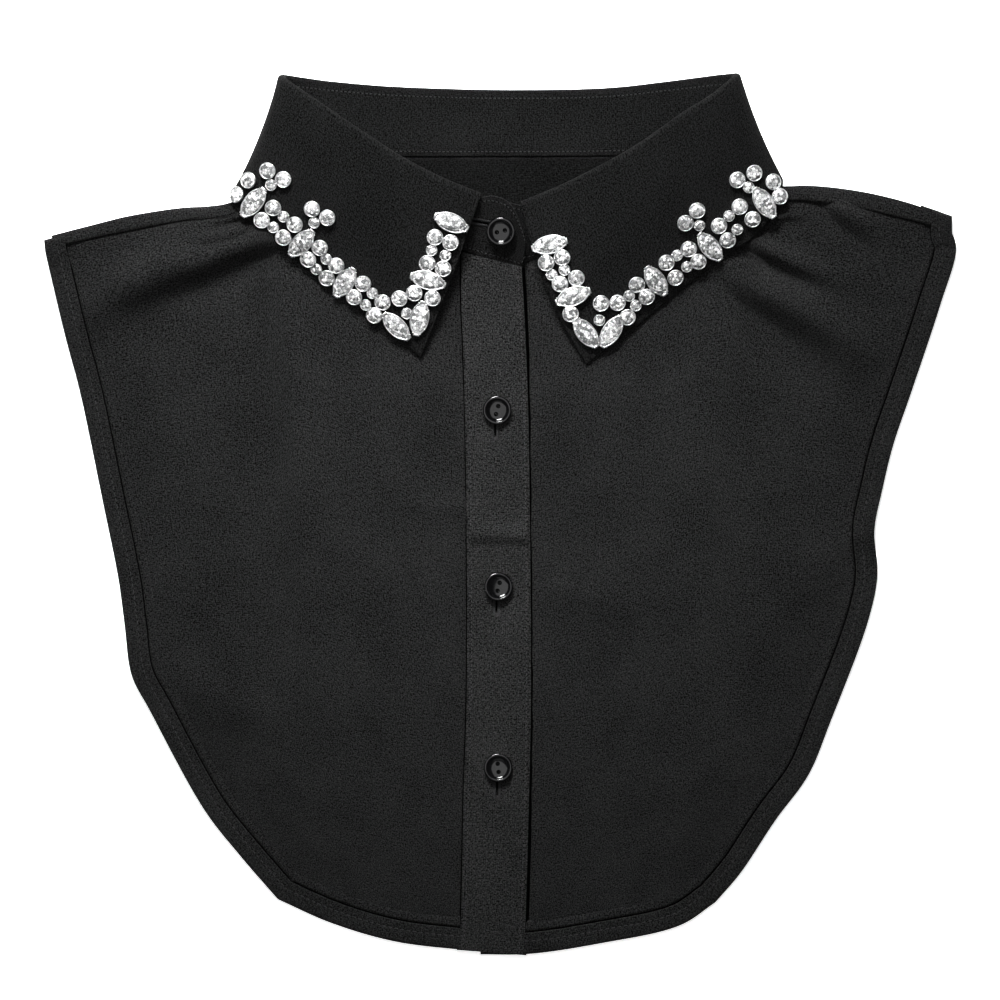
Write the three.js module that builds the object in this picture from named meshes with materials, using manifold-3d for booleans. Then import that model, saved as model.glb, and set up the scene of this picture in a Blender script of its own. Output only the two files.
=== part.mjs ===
// A detachable shirt collar with a bib front, buttoned and laid flat, face up, with stones sewn
// along both wings. X runs across the bib, Y up towards the neck, Z up off the surface it lies on.
// The origin is on that surface, under the middle of the outline. All sizes are in millimetres.
import * as THREE from "three";
import { mergeVertices } from "three/addons/utils/BufferGeometryUtils.js";
import Module from "manifold-3d";

const wasm = await Module();
wasm.setup();

// Cloth
const clothThickness = 1.0;
const standThickness = 1.2;
const placketThickness = 1.2;
const hemWidth = 8.6; // the folded band along the armhole and the bottom
const hemExtra = 0.4; // how far that band stands above the single cloth
const hemStep = 0.6; // width of the slope at the band's inner edge
const seamGap = 0.9; // from the midline of one sewn edge to the next piece's
const backInset = 2.5; // the back is cut this much smaller than the fronts
const bottomCornerY = -150; // below this the outline belongs to the bottom edge
const backHeight = clothThickness / 2; // midline of the back panel above the surface
const frontHeight = 1.8; // midline of both fronts
const placketHeight = 3.6; // midline of the placket
const placketRise = 2.8; // how far it climbs to the collar seam
const placketSeamY = 104;
const neckReach = 20; // how far from the neck seam the fronts take to settle
const underLeaf = 1.9; // how far the back panel rides up over the leaf that lies below it
const standToFold = 0.5; // from the stand's top edge to the start of the leaf's roll

// Buttons
const buttonRadius = 5.75;
const buttonHoleRadius = 0.9;
const buttonHoleSpacing = 3.4;
const buttonSides = 16;
const holeSides = 8;
const buttonSeat = 0.3;

// Stones: the outer size of each silver cup, and how far it sits off the cloth
const largeRadius = 3.25;
const smallRadius = 2.3;
const navetteLength = 14.8;
const navetteWidth = 6.8;
const stoneSeat = 0.45;
const largeSides = 8;
const smallSides = 8;
const navetteSides = 10;
const linkWidth = 1.2;
const linkThickness = 0.5;
const linkHeight = 1.0;

const colours = { cloth: 0x1d1d1f, button: 0x0b0b0d, stones: 0xdfe4ea };

// Names the columns of a short table.
function table(columns, rows) {
  return rows.map((row) => Object.fromEntries(columns.map((name, i) => [name, row[i]])));
}

const vec = (x, y, z = 0) => new THREE.Vector3(x, y, z);

// The collar from its left front edge round the back to its right front edge. Fold is the crease
// between stand and leaf, seam the stand's lower edge, edge the leaf's outer edge. Outward is the
// side on which the leaf falls, as an angle in the X-Z plane. Roll is the radius of the crease, bow
// how far the leaf bulges between crease and edge, and sway how far it bends along X.
const collarRows = table(
  [
    "foldX", "foldY", "foldZ", "seamX", "seamY", "seamZ", "edgeX", "edgeY", "edgeZ",
    "outward", "roll", "bow", "sway",
  ],
  [
    [-7.8, 131.8, 15.4, -13.5, 108.0, 6.4, -32.4, 64.6, 4.4, 90, 1.6, 0.8, 0.5],
    [-24.6, 138.8, 17.5, -29.5, 113.8, 7.4, -45.9, 75.2, 4.0, 90, 1.8, 1.4, 0],
    [-41.0, 147.4, 19.0, -46.7, 122.8, 8.6, -61.5, 87.5, 4.0, 90, 1.8, 1.6, 0],
    [-57.4, 158.0, 19.0, -64.4, 133.0, 9.4, -76.7, 99.8, 4.2, 90, 1.8, 1.6, 0],
    [-71.8, 167.6, 17.4, -79.4, 141.9, 9.8, -89.0, 110.1, 5.0, 92, 1.8, 1.4, 0],
    [-81.4, 174.2, 15.0, -89.2, 147.2, 9.6, -99.2, 117.5, 6.6, 104, 1.7, 0.8, 0],
    [-86.2, 177.6, 12.0, -94.4, 150.6, 8.8, -106.8, 123.8, 7.2, 132, 1.6, -0.4, 0],
    [-88.0, 179.2, 8.0, -96.8, 151.8, 6.2, -110.3, 129.6, 4.0, 180, 1.2, -2.0, 0],
    [-86.6, 179.4, 4.4, -94.8, 151.2, 3.8, -107.0, 130.8, 0.8, 232, 1.2, -0.8, 0],
    [-80.6, 178.6, 2.6, -88.6, 149.4, 2.8, -97.6, 129.4, 0.7, 262, 0.9, 0, 0],
    [-67.6, 176.9, 2.1, -69.7, 147.8, 2.6, -73.8, 128.1, 0.7, 270, 0.7, 0, 0],
    [-41.0, 174.8, 2.1, -41.0, 147.0, 2.6, -41.8, 127.7, 0.7, 270, 0.7, 0, 0],
    [0.0, 173.6, 2.1, 0.0, 147.0, 2.6, 0.0, 127.7, 0.7, 270, 0.7, 0, 0],
    [41.0, 174.2, 2.1, 41.0, 147.2, 2.6, 41.8, 127.7, 0.7, 270, 0.7, 0, 0],
    [67.6, 176.9, 2.1, 70.5, 148.2, 2.6, 74.6, 128.1, 0.7, 270, 0.7, 0, 0],
    [86.9, 179.4, 2.6, 95.1, 149.4, 2.8, 100.4, 131.0, 0.7, 278, 0.9, 0, 0],
    [93.9, 180.0, 4.4, 102.3, 151.2, 3.8, 111.6, 136.9, 0.8, 308, 1.2, -0.8, 0],
    [95.6, 179.8, 8.0, 104.6, 151.8, 6.2, 115.6, 136.9, 4.8, 360, 1.2, -1.2, 0],
    [93.4, 177.8, 12.0, 100.9, 150.2, 8.8, 114.0, 127.9, 7.2, 408, 1.6, -0.4, 0],
    [85.6, 171.6, 15.4, 91.8, 146.0, 9.6, 106.6, 116.4, 6.6, 436, 1.7, 0.8, 0],
    [73.8, 164.2, 17.8, 79.5, 138.8, 9.6, 93.9, 106.8, 5.0, 448, 1.8, 1.4, 0],
    [57.4, 152.7, 18.8, 63.5, 128.5, 9.0, 81.2, 97.8, 4.2, 450, 1.8, 1.6, 0],
    [41.0, 143.3, 17.8, 46.7, 119.1, 7.8, 65.6, 85.5, 4.0, 450, 1.8, 1.6, 0],
    [24.6, 135.1, 15.0, 29.9, 110.1, 5.6, 50.0, 72.4, 4.0, 450, 1.7, 1.4, -1],
    [8.6, 128.3, 11.9, 13.9, 104.8, 3.0, 35.3, 61.7, 4.4, 450, 1.4, 0.8, -3.4],
  ],
);
const collarSteps = 2; // stations between two rows of the table

// The stand's left end laps over its right end. Both reach past the leaf's front edges.
const standEndColumns = ["topX", "topY", "topZ", "seamX", "seamY", "seamZ"];
const tabRows = table(standEndColumns, [
  [10.2, 112.5, 9.9, 10.0, 105.6, 7.4],
  [8.5, 118.7, 12.2, 8.6, 102.0, 6.2],
  [6.0, 124.6, 14.4, 6.2, 102.3, 6.3],
  [3.2, 128.2, 15.2, 3.2, 103.1, 6.4],
  [0.0, 129.9, 15.4, -0.6, 104.0, 6.4],
  [-4.1, 130.8, 15.3, -6.4, 105.7, 6.4],
]);
const underlapRows = table(standEndColumns, [
  [3.6, 127.9, 11.2, 8.0, 103.7, 2.8],
  [-3.0, 128.6, 11.3, -0.5, 104.2, 2.8],
  [-8.6, 126.6, 10.9, -8.0, 106.2, 3.2],
]);

// Each shoulder from the neck to the armhole: the outline where the back panel folds over, the seam
// where it meets the front, and the height of the cloth at that seam.
const shoulderColumns = ["foldX", "foldY", "seamX", "seamY", "seamZ"];
const leftShoulder = table(shoulderColumns, [
  [-97.0, 148.4, -94.3, 146.4, 7.6],
  [-101.0, 140.6, -97.8, 138.0, 6.4],
  [-104.3, 133.4, -100.8, 130.8, 5.4],
  [-107.2, 128.9, -104.8, 126.1, 4.6],
  [-112.5, 126.9, -110.5, 122.9, 4.0],
  [-119.5, 125.9, -118.5, 121.9, 3.4],
  [-131.0, 125.2, -129.8, 121.0, 2.9],
  [-151.7, 122.0, -150.2, 117.4, 2.5],
  [-168.0, 118.0, -166.6, 114.0, 2.3],
  [-183.8, 113.9, -181.9, 110.6, 2.2],
]);
const rightShoulder = table(shoulderColumns, [
  [104.8, 148.6, 102.0, 146.6, 7.6],
  [107.8, 143.0, 105.0, 140.2, 6.4],
  [110.6, 138.2, 108.3, 135.0, 5.6],
  [113.6, 134.6, 112.0, 131.0, 4.4],
  [118.4, 134.2, 117.6, 129.6, 3.8],
  [125.0, 134.4, 124.4, 129.4, 3.4],
  [136.0, 133.7, 135.2, 128.2, 3.0],
  [152.0, 131.2, 150.8, 125.4, 2.6],
  [169.8, 126.6, 168.2, 121.4, 2.3],
  [183.0, 121.6, 180.6, 118.2, 2.2],
]);

// The outlines of the two fronts, from the armhole's top corner to the bottom corner and on to
// the placket.
const leftSide = [
  [-186.6, 109.0], [-184.5, 100.0], [-177.9, 72.4], [-172.2, 51.0], [-162.8, 5.9],
  [-156.2, -26.9], [-153.8, -45.0], [-150.9, -65.8], [-143.5, -80.2], [-121.0, -121.2],
  [-106.6, -139.6], [-91.0, -157.6],
];
const leftBottom = [[-91.0, -157.6], [-69.7, -167.1], [-43.1, -174.9], [-9.0, -179.0]];
const rightSide = [
  [184.8, 116.6], [186.9, 109.0], [180.4, 85.9], [168.1, 49.0], [161.1, 28.5],
  [156.6, 10.0], [153.4, -6.4], [154.6, -24.8], [150.9, -43.3], [135.3, -85.1],
  [126.3, -106.8], [112.8, -125.3], [98.4, -147.0], [88.2, -158.9],
];
const rightBottom = [[88.2, -158.9], [73.8, -168.3], [41.0, -175.7], [12.0, -180.0], [-8.0, -180.2]];

// Where the neck edge of either front runs on under the placket.
const leftLap = [[-15.6, 107.8, 4.4], [-9.0, 105.6, 4.0]];
const rightLap = [[4.0, 101.6, 2.6], [-8.0, 102.4, 2.4]];

// The placket's two edges, from the collar seam down.
const placketRows = table(
  ["y", "left", "right"],
  [
    [88.0, -15.5, 11.1],
    [50.0, -14.1, 11.4],
    [6.0, -13.4, 11.9],
    [-76.0, -13.3, 12.4],
    [-117.0, -14.6, 11.6],
    [-150.0, -15.2, 10.7],
    [-170.0, -15.9, 10.0],
  ],
);
const placketTop = { left: [-15.4, 106.8], right: [9.2, 100.6] };
const placketBottom = { left: [-16.8, -178.6], right: [9.2, -180.8] };

// Soft folds that run out from under the collar: a ridge from one point to the other.
const folds = table(
  ["fromX", "fromY", "toX", "toY", "width", "height"],
  [
    [-112, 117, -128, 113, 5, 0.8],
    [-92, 98, -156, 74, 11, 2.0],
    [-96, 118, -118, 108, 6, 1.2],
    [100, 112, 133, 92, 9, 2.0],
    [92, 92, 136, 64, 12, 1.8],
    [131, 127, 143, 112, 6, 1.2],
    [-30, -12, 10, -12, 7, 0.5],
    [-140, 4, -60, -2, 9, 0.7],
  ],
);

const buttonRows = table(
  ["x", "y", "turn", "carrier"],
  [
    [0.5, 116.4, 0, "collar_stand"],
    [-1.2, 42.8, 75, "placket"],
    [-0.8, -29.7, 20, "placket"],
    [-0.8, -103.9, 90, "placket"],
  ],
);

// The stones of each wing, from the shoulder down to the point and up the front edge. A row is one
// stone, or two side by side at the given spacing. Turn is the direction of the pair, or of a
// navette's length, in degrees from X.
const stoneColumns = ["kind", "count", "x", "y", "turn", "spacing"];
const leftStones = table(stoneColumns, [
  ["large", 1, -102.4, 136.9, 0, 0],
  ["large", 1, -107.2, 130.8, 0, 0],
  ["navette", 1, -100.9, 128.2, 51, 0],
  ["large", 2, -91.7, 139.4, -28, 7.2],
  ["small", 1, -93.6, 135.3, 0, 0],
  ["large", 2, -95.2, 123.6, 47, 6.9],
  ["small", 2, -90.7, 120.3, 45, 6.1],
  ["large", 2, -86.2, 116.7, 48, 7.1],
  ["large", 2, -73.6, 123.9, -30, 7.2],
  ["small", 1, -75.9, 120.0, 0, 0],
  ["navette", 1, -81.0, 111.8, 48, 0],
  ["large", 2, -75.9, 107.5, 45, 6.7],
  ["small", 2, -73.0, 103.1, 45, 5.8],
  ["large", 2, -68.7, 100.0, 53, 6.4],
  ["navette", 1, -63.3, 95.7, 56, 0],
  ["large", 2, -57.6, 92.4, 57, 6.6],
  ["small", 2, -53.4, 88.7, 60, 5.5],
  ["large", 2, -49.5, 84.8, 58, 6.3],
  ["navette", 1, -42.2, 77.6, -46, 0],
  ["small", 1, -38.0, 82.8, 0, 0],
  ["large", 2, -38.0, 90.1, 20, 6.4],
  ["navette", 1, -32.7, 80.8, 77, 0],
  ["large", 1, -27.6, 89.1, 0, 0],
  ["navette", 1, -29.5, 96.4, -17, 0],
  ["large", 2, -26.6, 102.3, -19, 6.9],
  ["small", 2, -25.2, 107.6, -21, 6.0],
  ["large", 2, -23.5, 113.0, -19, 6.7],
  ["navette", 1, -20.1, 120.1, -24, 0],
]);
const rightStones = table(stoneColumns, [
  ["large", 1, 111.4, 136.3, 0, 0],
  ["large", 1, 114.2, 130.4, 0, 0],
  ["navette", 1, 108.0, 128.0, -55, 0],
  ["large", 2, 100.3, 138.8, 21, 7.3],
  ["small", 1, 101.6, 134.3, 0, 0],
  ["large", 2, 100.6, 124.0, -44, 7.4],
  ["small", 2, 95.4, 120.0, -58, 6.5],
  ["large", 2, 91.3, 115.9, -58, 6.9],
  ["large", 2, 78.1, 122.5, 47, 7.0],
  ["small", 1, 81.5, 118.9, 0, 0],
  ["navette", 1, 85.8, 110.3, -52, 0],
  ["large", 2, 79.0, 106.8, -52, 6.5],
  ["small", 2, 74.3, 104.3, -49, 6.1],
  ["large", 2, 69.7, 100.7, -59, 7.1],
  ["navette", 1, 63.6, 96.3, -56, 0],
  ["large", 2, 57.8, 92.2, -51, 6.3],
  ["small", 2, 54.1, 88.0, -56, 4.8],
  ["large", 1, 52.0, 81.3, 0, 0],
  ["navette", 1, 45.4, 75.4, 60, 0],
  ["small", 1, 40.6, 80.0, 0, 0],
  ["large", 2, 44.6, 87.1, 2, 6.7],
  ["navette", 1, 35.1, 74.8, -52, 0],
  ["large", 1, 28.9, 82.6, 0, 0],
  ["navette", 1, 30.0, 89.8, 21, 0],
  ["large", 2, 28.0, 96.1, 20, 7.1],
  ["small", 2, 23.9, 99.6, 21, 5.6],
  ["large", 2, 22.3, 104.6, 19, 6.9],
  ["navette", 1, 20.5, 111.0, 14, 0],
]);

const smooth = THREE.MathUtils.smoothstep;
const toRadians = THREE.MathUtils.degToRad;

// Adds stations between the rows of a table, on a smooth curve through every column.
function refine(rows, steps) {
  const names = Object.keys(rows[0]);
  const fine = [];
  for (let i = 0; i < rows.length - 1; i += 1) {
    const near = [rows[Math.max(i - 1, 0)], rows[i], rows[i + 1], rows[Math.min(i + 2, rows.length - 1)]];
    for (let step = 0; step < steps; step += 1) {
      const t = step / steps;
      const weights = [
        (-t + 2 * t * t - t * t * t) / 2,
        (2 - 5 * t * t + 3 * t * t * t) / 2,
        (t + 4 * t * t - 3 * t * t * t) / 2,
        (-t * t + t * t * t) / 2,
      ];
      const mixed = names.map((name) => [name, weights.reduce((sum, w, k) => sum + w * near[k][name], 0)]);
      fine.push(Object.fromEntries(mixed));
    }
  }
  fine.push(rows.at(-1));
  return fine;
}

function geometryOf(points, faces) {
  const geometry = new THREE.BufferGeometry();
  geometry.setAttribute("position", new THREE.Float32BufferAttribute(points.flatMap((p) => p.toArray()), 3));
  geometry.setIndex(faces.flat());
  return geometry;
}

// A closed shell about a grid of midline points. Over and under are its thickness above and below
// the midline, as numbers or as functions of row and column.
function shell(grid, over, under = over) {
  const height = grid.length;
  const width = grid[0].length;
  const at = (value, i, j) => (typeof value === "function" ? value(i, j) : value);
  const upper = [];
  const lower = [];
  grid.forEach((row, i) => {
    row.forEach((point, j) => {
      const along = grid[Math.min(i + 1, height - 1)][j].clone().sub(grid[Math.max(i - 1, 0)][j]);
      const across = row[Math.min(j + 1, width - 1)].clone().sub(row[Math.max(j - 1, 0)]);
      const normal = across.cross(along).normalize();
      upper.push(point.clone().addScaledVector(normal, at(over, i, j)));
      lower.push(point.clone().addScaledVector(normal, -at(under, i, j)));
    });
  });
  const faces = [];
  const total = width * height;
  const index = (i, j) => i * width + j;
  const wall = (a, b) => faces.push([a, b, b + total], [a, b + total, a + total]);
  for (let i = 0; i < height - 1; i += 1) {
    for (let j = 0; j < width - 1; j += 1) {
      const [a, b, c, d] = [index(i, j), index(i, j + 1), index(i + 1, j + 1), index(i + 1, j)];
      faces.push([a, b, c], [a, c, d]);
      faces.push([a + total, c + total, b + total], [a + total, d + total, c + total]);
    }
    wall(index(i, 0), index(i + 1, 0));
    wall(index(i + 1, width - 1), index(i, width - 1));
  }
  for (let j = 0; j < width - 1; j += 1) {
    wall(index(0, j + 1), index(0, j));
    wall(index(height - 1, j), index(height - 1, j + 1));
  }
  return geometryOf([...upper, ...lower], faces);
}

// A closed geometry as a solid that can be joined and cut, and back again.
function solid(geometry, matrix) {
  const bare = new THREE.BufferGeometry().setAttribute("position", geometry.getAttribute("position").clone());
  bare.setIndex(geometry.index);
  if (matrix) bare.applyMatrix4(matrix);
  const merged = mergeVertices(bare, 1e-4);
  return new wasm.Manifold(
    new wasm.Mesh({
      numProp: 3,
      vertProperties: new Float32Array(merged.attributes.position.array),
      triVerts: new Uint32Array(merged.index.array),
    }),
  );
}

function fromSolid(body) {
  const made = body.getMesh();
  const geometry = new THREE.BufferGeometry();
  geometry.setAttribute("position", new THREE.BufferAttribute(new Float32Array(made.vertProperties), 3));
  geometry.setIndex(new THREE.BufferAttribute(new Uint32Array(made.triVerts), 1));
  return geometry;
}

function join(solids) {
  return solids.reduce((sum, next) => sum.add(next));
}

const collar = new THREE.Group();

function addPiece(name, geometry, colour, roughness, metalness = 0) {
  const material = new THREE.MeshStandardMaterial({ color: colour, roughness, metalness });
  const mesh = new THREE.Mesh(geometry, material);
  mesh.name = name;
  collar.add(mesh);
  return mesh;
}

const addCloth = (name, geometry) => addPiece(name, geometry, colours.cloth, 0.92);

// The crease, the stand's slope and the leaf's side at one station of the collar.
function stationFrame(row) {
  const fold = vec(row.foldX, row.foldY, row.foldZ);
  const seam = vec(row.seamX, row.seamY, row.seamZ);
  const slope = fold.clone().sub(seam).normalize();
  const angle = toRadians(row.outward);
  const outward = vec(Math.cos(angle), 0, Math.sin(angle));
  outward.addScaledVector(slope, -outward.dot(slope)).normalize();
  const top = fold.clone().addScaledVector(slope, -(row.roll + standToFold));
  return { row, seam, slope, outward, top };
}

const stations = refine(collarRows, collarSteps).map(stationFrame);

// Collar stand: straight from seam to top edge at every station.
const standHeights = [0, 0.5, 1];
const endStation = (row) => ({
  seam: vec(row.seamX, row.seamY, row.seamZ),
  top: vec(row.topX, row.topY, row.topZ),
});
const standLine = [...tabRows.map(endStation), ...stations, ...underlapRows.map(endStation)];
const standGrid = standLine.map(({ seam, top }) => standHeights.map((h) => seam.clone().lerp(top, h)));
addCloth("collar_stand", shell(standGrid, standThickness / 2));

// Collar leaf: out of the stand's top edge, round the crease and down to its edge.
const rollAngles = [0, 60, 120, 180];
const fallSteps = 5;

function leafSection({ row, slope, outward, top }) {
  const centre = top.clone().addScaledVector(slope, standToFold).addScaledVector(outward, row.roll);
  const points = rollAngles.map((degrees) => {
    const angle = toRadians(degrees);
    return centre
      .clone()
      .addScaledVector(outward, -row.roll * Math.cos(angle))
      .addScaledVector(slope, row.roll * Math.sin(angle));
  });
  const start = points.at(-1);
  const end = vec(row.edgeX, row.edgeY, row.edgeZ);
  const pull = start.clone().lerp(end, 0.5).addScaledVector(outward, 2 * row.bow);
  pull.x += 2 * row.sway;
  const fall = new THREE.QuadraticBezierCurve3(start, pull, end);
  for (let step = 1; step <= fallSteps; step += 1) points.push(fall.getPoint(step / fallSteps));
  return points;
}

const leaf = addCloth("collar_leaf", shell(stations.map(leafSection), clothThickness / 2));

// Back panel height: flat on the surface, and up over the leaf round the neck.
const leafBelow = { middleX: 3, innerX: 112, outerX: 124, lowY: 110, highY: 125 };

function backMidline(x, y) {
  const { middleX, innerX, outerX, lowY, highY } = leafBelow;
  const nearNeck = smooth(y, lowY, highY) * (1 - smooth(Math.abs(x - middleX), innerX, outerX));
  return backHeight + underLeaf * nearNeck;
}

// A point of the patch between four curves that meet at its corners.
function patchPoint({ top, bottom, left, right }, u, v) {
  const across = left.getPointAt(v).lerp(right.getPointAt(v), u);
  const corners = top.getPointAt(0).lerp(top.getPointAt(1), u);
  corners.lerp(bottom.getPointAt(0).lerp(bottom.getPointAt(1), u), v);
  return top.getPointAt(u).lerp(bottom.getPointAt(u), v).add(across).sub(corners);
}

const curve = (points) => new THREE.CatmullRomCurve3(points, false, "centripetal");
const flatCurve = (points) => curve(points.map(([x, y]) => vec(x, y)));

// Where along its own length a fold rises and dies away.
const foldRun = { start: -0.1, risen: 0.25, falling: 0.6, end: 1.1 };

function foldHeight(x, y) {
  return folds.reduce((sum, fold) => {
    const run = vec(fold.toX - fold.fromX, fold.toY - fold.fromY);
    const offset = vec(x - fold.fromX, y - fold.fromY);
    const along = offset.dot(run) / run.lengthSq();
    const aside = offset.addScaledVector(run, -along).length() / fold.width;
    const { start, risen, falling, end } = foldRun;
    const ends = smooth(along, start, risen) * (1 - smooth(along, falling, end));
    return sum + fold.height * ends * Math.exp(-aside * aside);
  }, 0);
}

// How far a height at the neck seam still counts at a distance from it.
const settling = (distance) => Math.exp(-((distance / neckReach) ** 2));

// Shares of a length that leave room for a hem at its start: its edge, its slope, then the rest.
function hemmedShares(length, rest) {
  const inner = (hemWidth + hemStep) / length;
  return [0, hemWidth / length, inner, ...rest.map((share) => THREE.MathUtils.lerp(inner, 1, share))];
}

// One front of the bib. Its top runs along the shoulder seam and the neck, from the armhole to the
// placket, and its side from the armhole down to the bottom corner.
const frontColumns = [0.1, 0.21, 0.31, 0.36, 0.41, 0.46, 0.51, 0.59, 0.7, 0.82, 0.91, 1];
const frontLength = 260;
const rowsByNeck = [0, 9, 18, 29, 42, 58].map((distance) => distance / frontLength);
const rowsByHem = [0.1, 0.22, 0.34, 0.46, 0.58, 0.7];

function front(topPoints, sidePoints, bottomPoints) {
  const flatTop = curve(topPoints.map((p) => p.clone().setZ(0)));
  const lapEnd = vec(...bottomPoints.at(-1));
  const edges = {
    top: flatTop,
    bottom: flatCurve(bottomPoints),
    left: flatCurve(sidePoints),
    right: curve([flatTop.getPoint(1), lapEnd]),
  };
  const seam = curve(topPoints);
  const fromBottom = hemmedShares(frontLength, rowsByHem).map((share) => 1 - share);
  const rowShares = [...rowsByNeck, ...fromBottom.reverse()];
  const grid = rowShares.map((v) => {
    const width = edges.left.getPointAt(v).distanceTo(edges.right.getPointAt(v));
    return hemmedShares(width, frontColumns).map((u) => {
      const point = patchPoint(edges, u, v);
      const raised = (seam.getPointAt(u).z - frontHeight) * settling(v * frontLength);
      return point.setZ(frontHeight + raised + foldHeight(point.x, point.y));
    });
  });
  const last = { row: grid.length - 1, column: grid[0].length - 1 };
  const hemmed = (i, j) => j <= 1 || i >= last.row - 1;
  const overAt = (i, j) => clothThickness / 2 + (hemmed(i, j) ? hemExtra : 0);
  const facesDown = sidePoints[0][0] < 0;
  if (!facesDown) return shell(grid, overAt, clothThickness / 2);
  return shell(grid.map((row) => row.reverse()), (i, j) => overAt(i, last.column - j), clothThickness / 2);
}

// The neck edge of a front: the stand's seam, set back by the seam's gap and lowered by a drop.
const rowFrames = collarRows.map(stationFrame);

function neckEdge(frames, drop) {
  return frames.map(({ seam, slope }) => {
    const down = vec(slope.x, slope.y).normalize();
    return seam.clone().addScaledVector(down, -seamGap).setZ(seam.z - drop);
  });
}

const inwardOf = (row) => vec(row.seamX - row.foldX, row.seamY - row.foldY).normalize();

function shoulderEdge(rows) {
  return rows.map((row) =>
    vec(row.seamX, row.seamY, row.seamZ).addScaledVector(inwardOf(row), seamGap),
  );
}

const leftNeck = neckEdge(rowFrames.slice(1, 6).reverse(), 0.3);
const rightNeck = neckEdge(rowFrames.slice(-6), 0.2);
const leftTop = [vec(...leftSide[0], frontHeight), ...shoulderEdge(leftShoulder).reverse(), ...leftNeck];
leftTop.push(...leftLap.map((point) => vec(...point)));
const rightTop = [vec(...rightSide[0], frontHeight), ...shoulderEdge(rightShoulder).reverse()];
rightTop.push(...rightNeck, ...rightLap.map((point) => vec(...point)));
addCloth("front_left", front(leftTop, leftSide, leftBottom));
addCloth("front_right", front(rightTop, rightSide, rightBottom));

// Back panel: one flat sheet, joined to a roll of cloth over each shoulder.
const backColumns = 15;
const backRows = [0, 0.05, 0.1, 0.15, 0.3, 0.45, 0.6, 0.75, 0.88, 1];
const rollOverlap = 6; // from the fold to the flat sheet's own edge
const rollRun = 9; // from the fold to the start of the roll, inside the sheet
const rollTurns = [-90, -45, 0, 45, 90];

const inset = (points) =>
  points.map(([x, y]) => [x - Math.sign(x) * backInset, y + (y < bottomCornerY ? backInset : 0)]);

function shoulderStart(rows) {
  return rows.map((row) => {
    const inner = vec(row.foldX, row.foldY).addScaledVector(inwardOf(row), rollOverlap);
    return [inner.x, inner.y];
  });
}

function backSheet() {
  const backNeck = rowFrames.slice(9, 16).map(({ seam }) => [seam.x, seam.y - seamGap]);
  const topPoints = [...shoulderStart(leftShoulder).reverse(), ...backNeck, ...shoulderStart(rightShoulder)];
  const leftPoints = [topPoints[0], ...inset(leftSide).slice(1)];
  const rightPoints = [topPoints.at(-1), ...inset(rightSide).slice(1)];
  const bottomPoints = [...inset(leftBottom), ...inset(rightBottom).reverse()];
  const edges = {
    top: flatCurve(topPoints),
    bottom: flatCurve(bottomPoints),
    left: flatCurve(leftPoints),
    right: flatCurve(rightPoints),
  };
  const grid = backRows.map((v) =>
    Array.from({ length: backColumns }, (_, j) => {
      const point = patchPoint(edges, j / (backColumns - 1), v);
      return point.setZ(backMidline(point.x, point.y));
    }),
  );
  return shell(grid, clothThickness / 2);
}

function shoulderRoll(rows) {
  const grid = rows.map((row) => {
    const fold = vec(row.foldX, row.foldY);
    const inward = inwardOf(row);
    const start = fold.clone().addScaledVector(inward, rollRun);
    start.z = backMidline(start.x, start.y);
    const reach = Math.hypot(row.seamX - row.foldX, row.seamY - row.foldY);
    const low = backMidline(row.foldX, row.foldY);
    const turns = rollTurns.map((degrees) => {
      const angle = toRadians(degrees);
      const point = fold.clone().addScaledVector(inward, reach * (1 - Math.cos(angle)));
      return point.setZ(THREE.MathUtils.lerp(low, row.seamZ, (1 + Math.sin(angle)) / 2));
    });
    return [start, ...turns];
  });
  const half = clothThickness / 2;
  return shell(grid, (i, j) => (j === 0 ? half / 2 : half));
}

const backSolids = [backSheet(), shoulderRoll(leftShoulder), shoulderRoll(rightShoulder)];
addCloth("back_panel", fromSolid(join(backSolids.map((geometry) => solid(geometry)))));

// Placket: a flat band down the middle, rising to the collar seam.
const placketLine = [
  placketTop,
  ...placketRows.map(({ y, left, right }) => ({ left: [left, y], right: [right, y] })),
  placketBottom,
];
const placketGrid = placketLine.map(({ left, right }) =>
  [1, 0.5, 0].map((share) => {
    const point = vec(...right).lerp(vec(...left), 1 - share);
    const fromSeam = Math.max(placketSeamY - point.y, 0);
    return point.setZ(placketHeight + placketRise * settling(fromSeam));
  }),
);
addCloth("placket", shell(placketGrid, placketThickness / 2));

// The top of a piece under a point, and the way the piece faces there.
const ray = new THREE.Raycaster();

function seatOn(mesh, x, y, gap) {
  ray.set(vec(x, y, 100), vec(0, 0, -1));
  const hit = ray.intersectObject(mesh)[0];
  const normal = hit.face.normal.clone();
  return { point: hit.point.clone().addScaledVector(normal, gap), normal };
}

// Turns a piece modelled upright at the origin so that it lies on its seat.
function placeOn({ point, normal }, turn) {
  const upright = new THREE.Quaternion().setFromUnitVectors(vec(0, 0, 1), normal);
  const spin = new THREE.Quaternion().setFromAxisAngle(vec(0, 0, 1), toRadians(turn));
  return new THREE.Matrix4().compose(point, upright.multiply(spin), vec(1, 1, 1));
}

// Button: a disc with a raised rim, a sunk middle and two holes.
function buttonSolid() {
  const profile = [
    [0, 0], [4.4, 0], [buttonRadius, 0.9], [buttonRadius, 1.7], [5.2, 2.4], [4.4, 2.3], [3.7, 1.5], [0, 1.4],
  ];
  const lathe = new THREE.LatheGeometry(profile.map(([r, z]) => new THREE.Vector2(r, z)), buttonSides);
  lathe.rotateX(Math.PI / 2);
  const disc = solid(lathe);
  const holes = [-1, 1].map((way) => {
    const drill = new THREE.CylinderGeometry(buttonHoleRadius, buttonHoleRadius, 4, holeSides);
    drill.rotateX(Math.PI / 2);
    drill.translate((way * buttonHoleSpacing) / 2, 0, 1);
    return solid(drill);
  });
  return holes.reduce((body, hole) => body.subtract(hole), disc);
}

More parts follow.
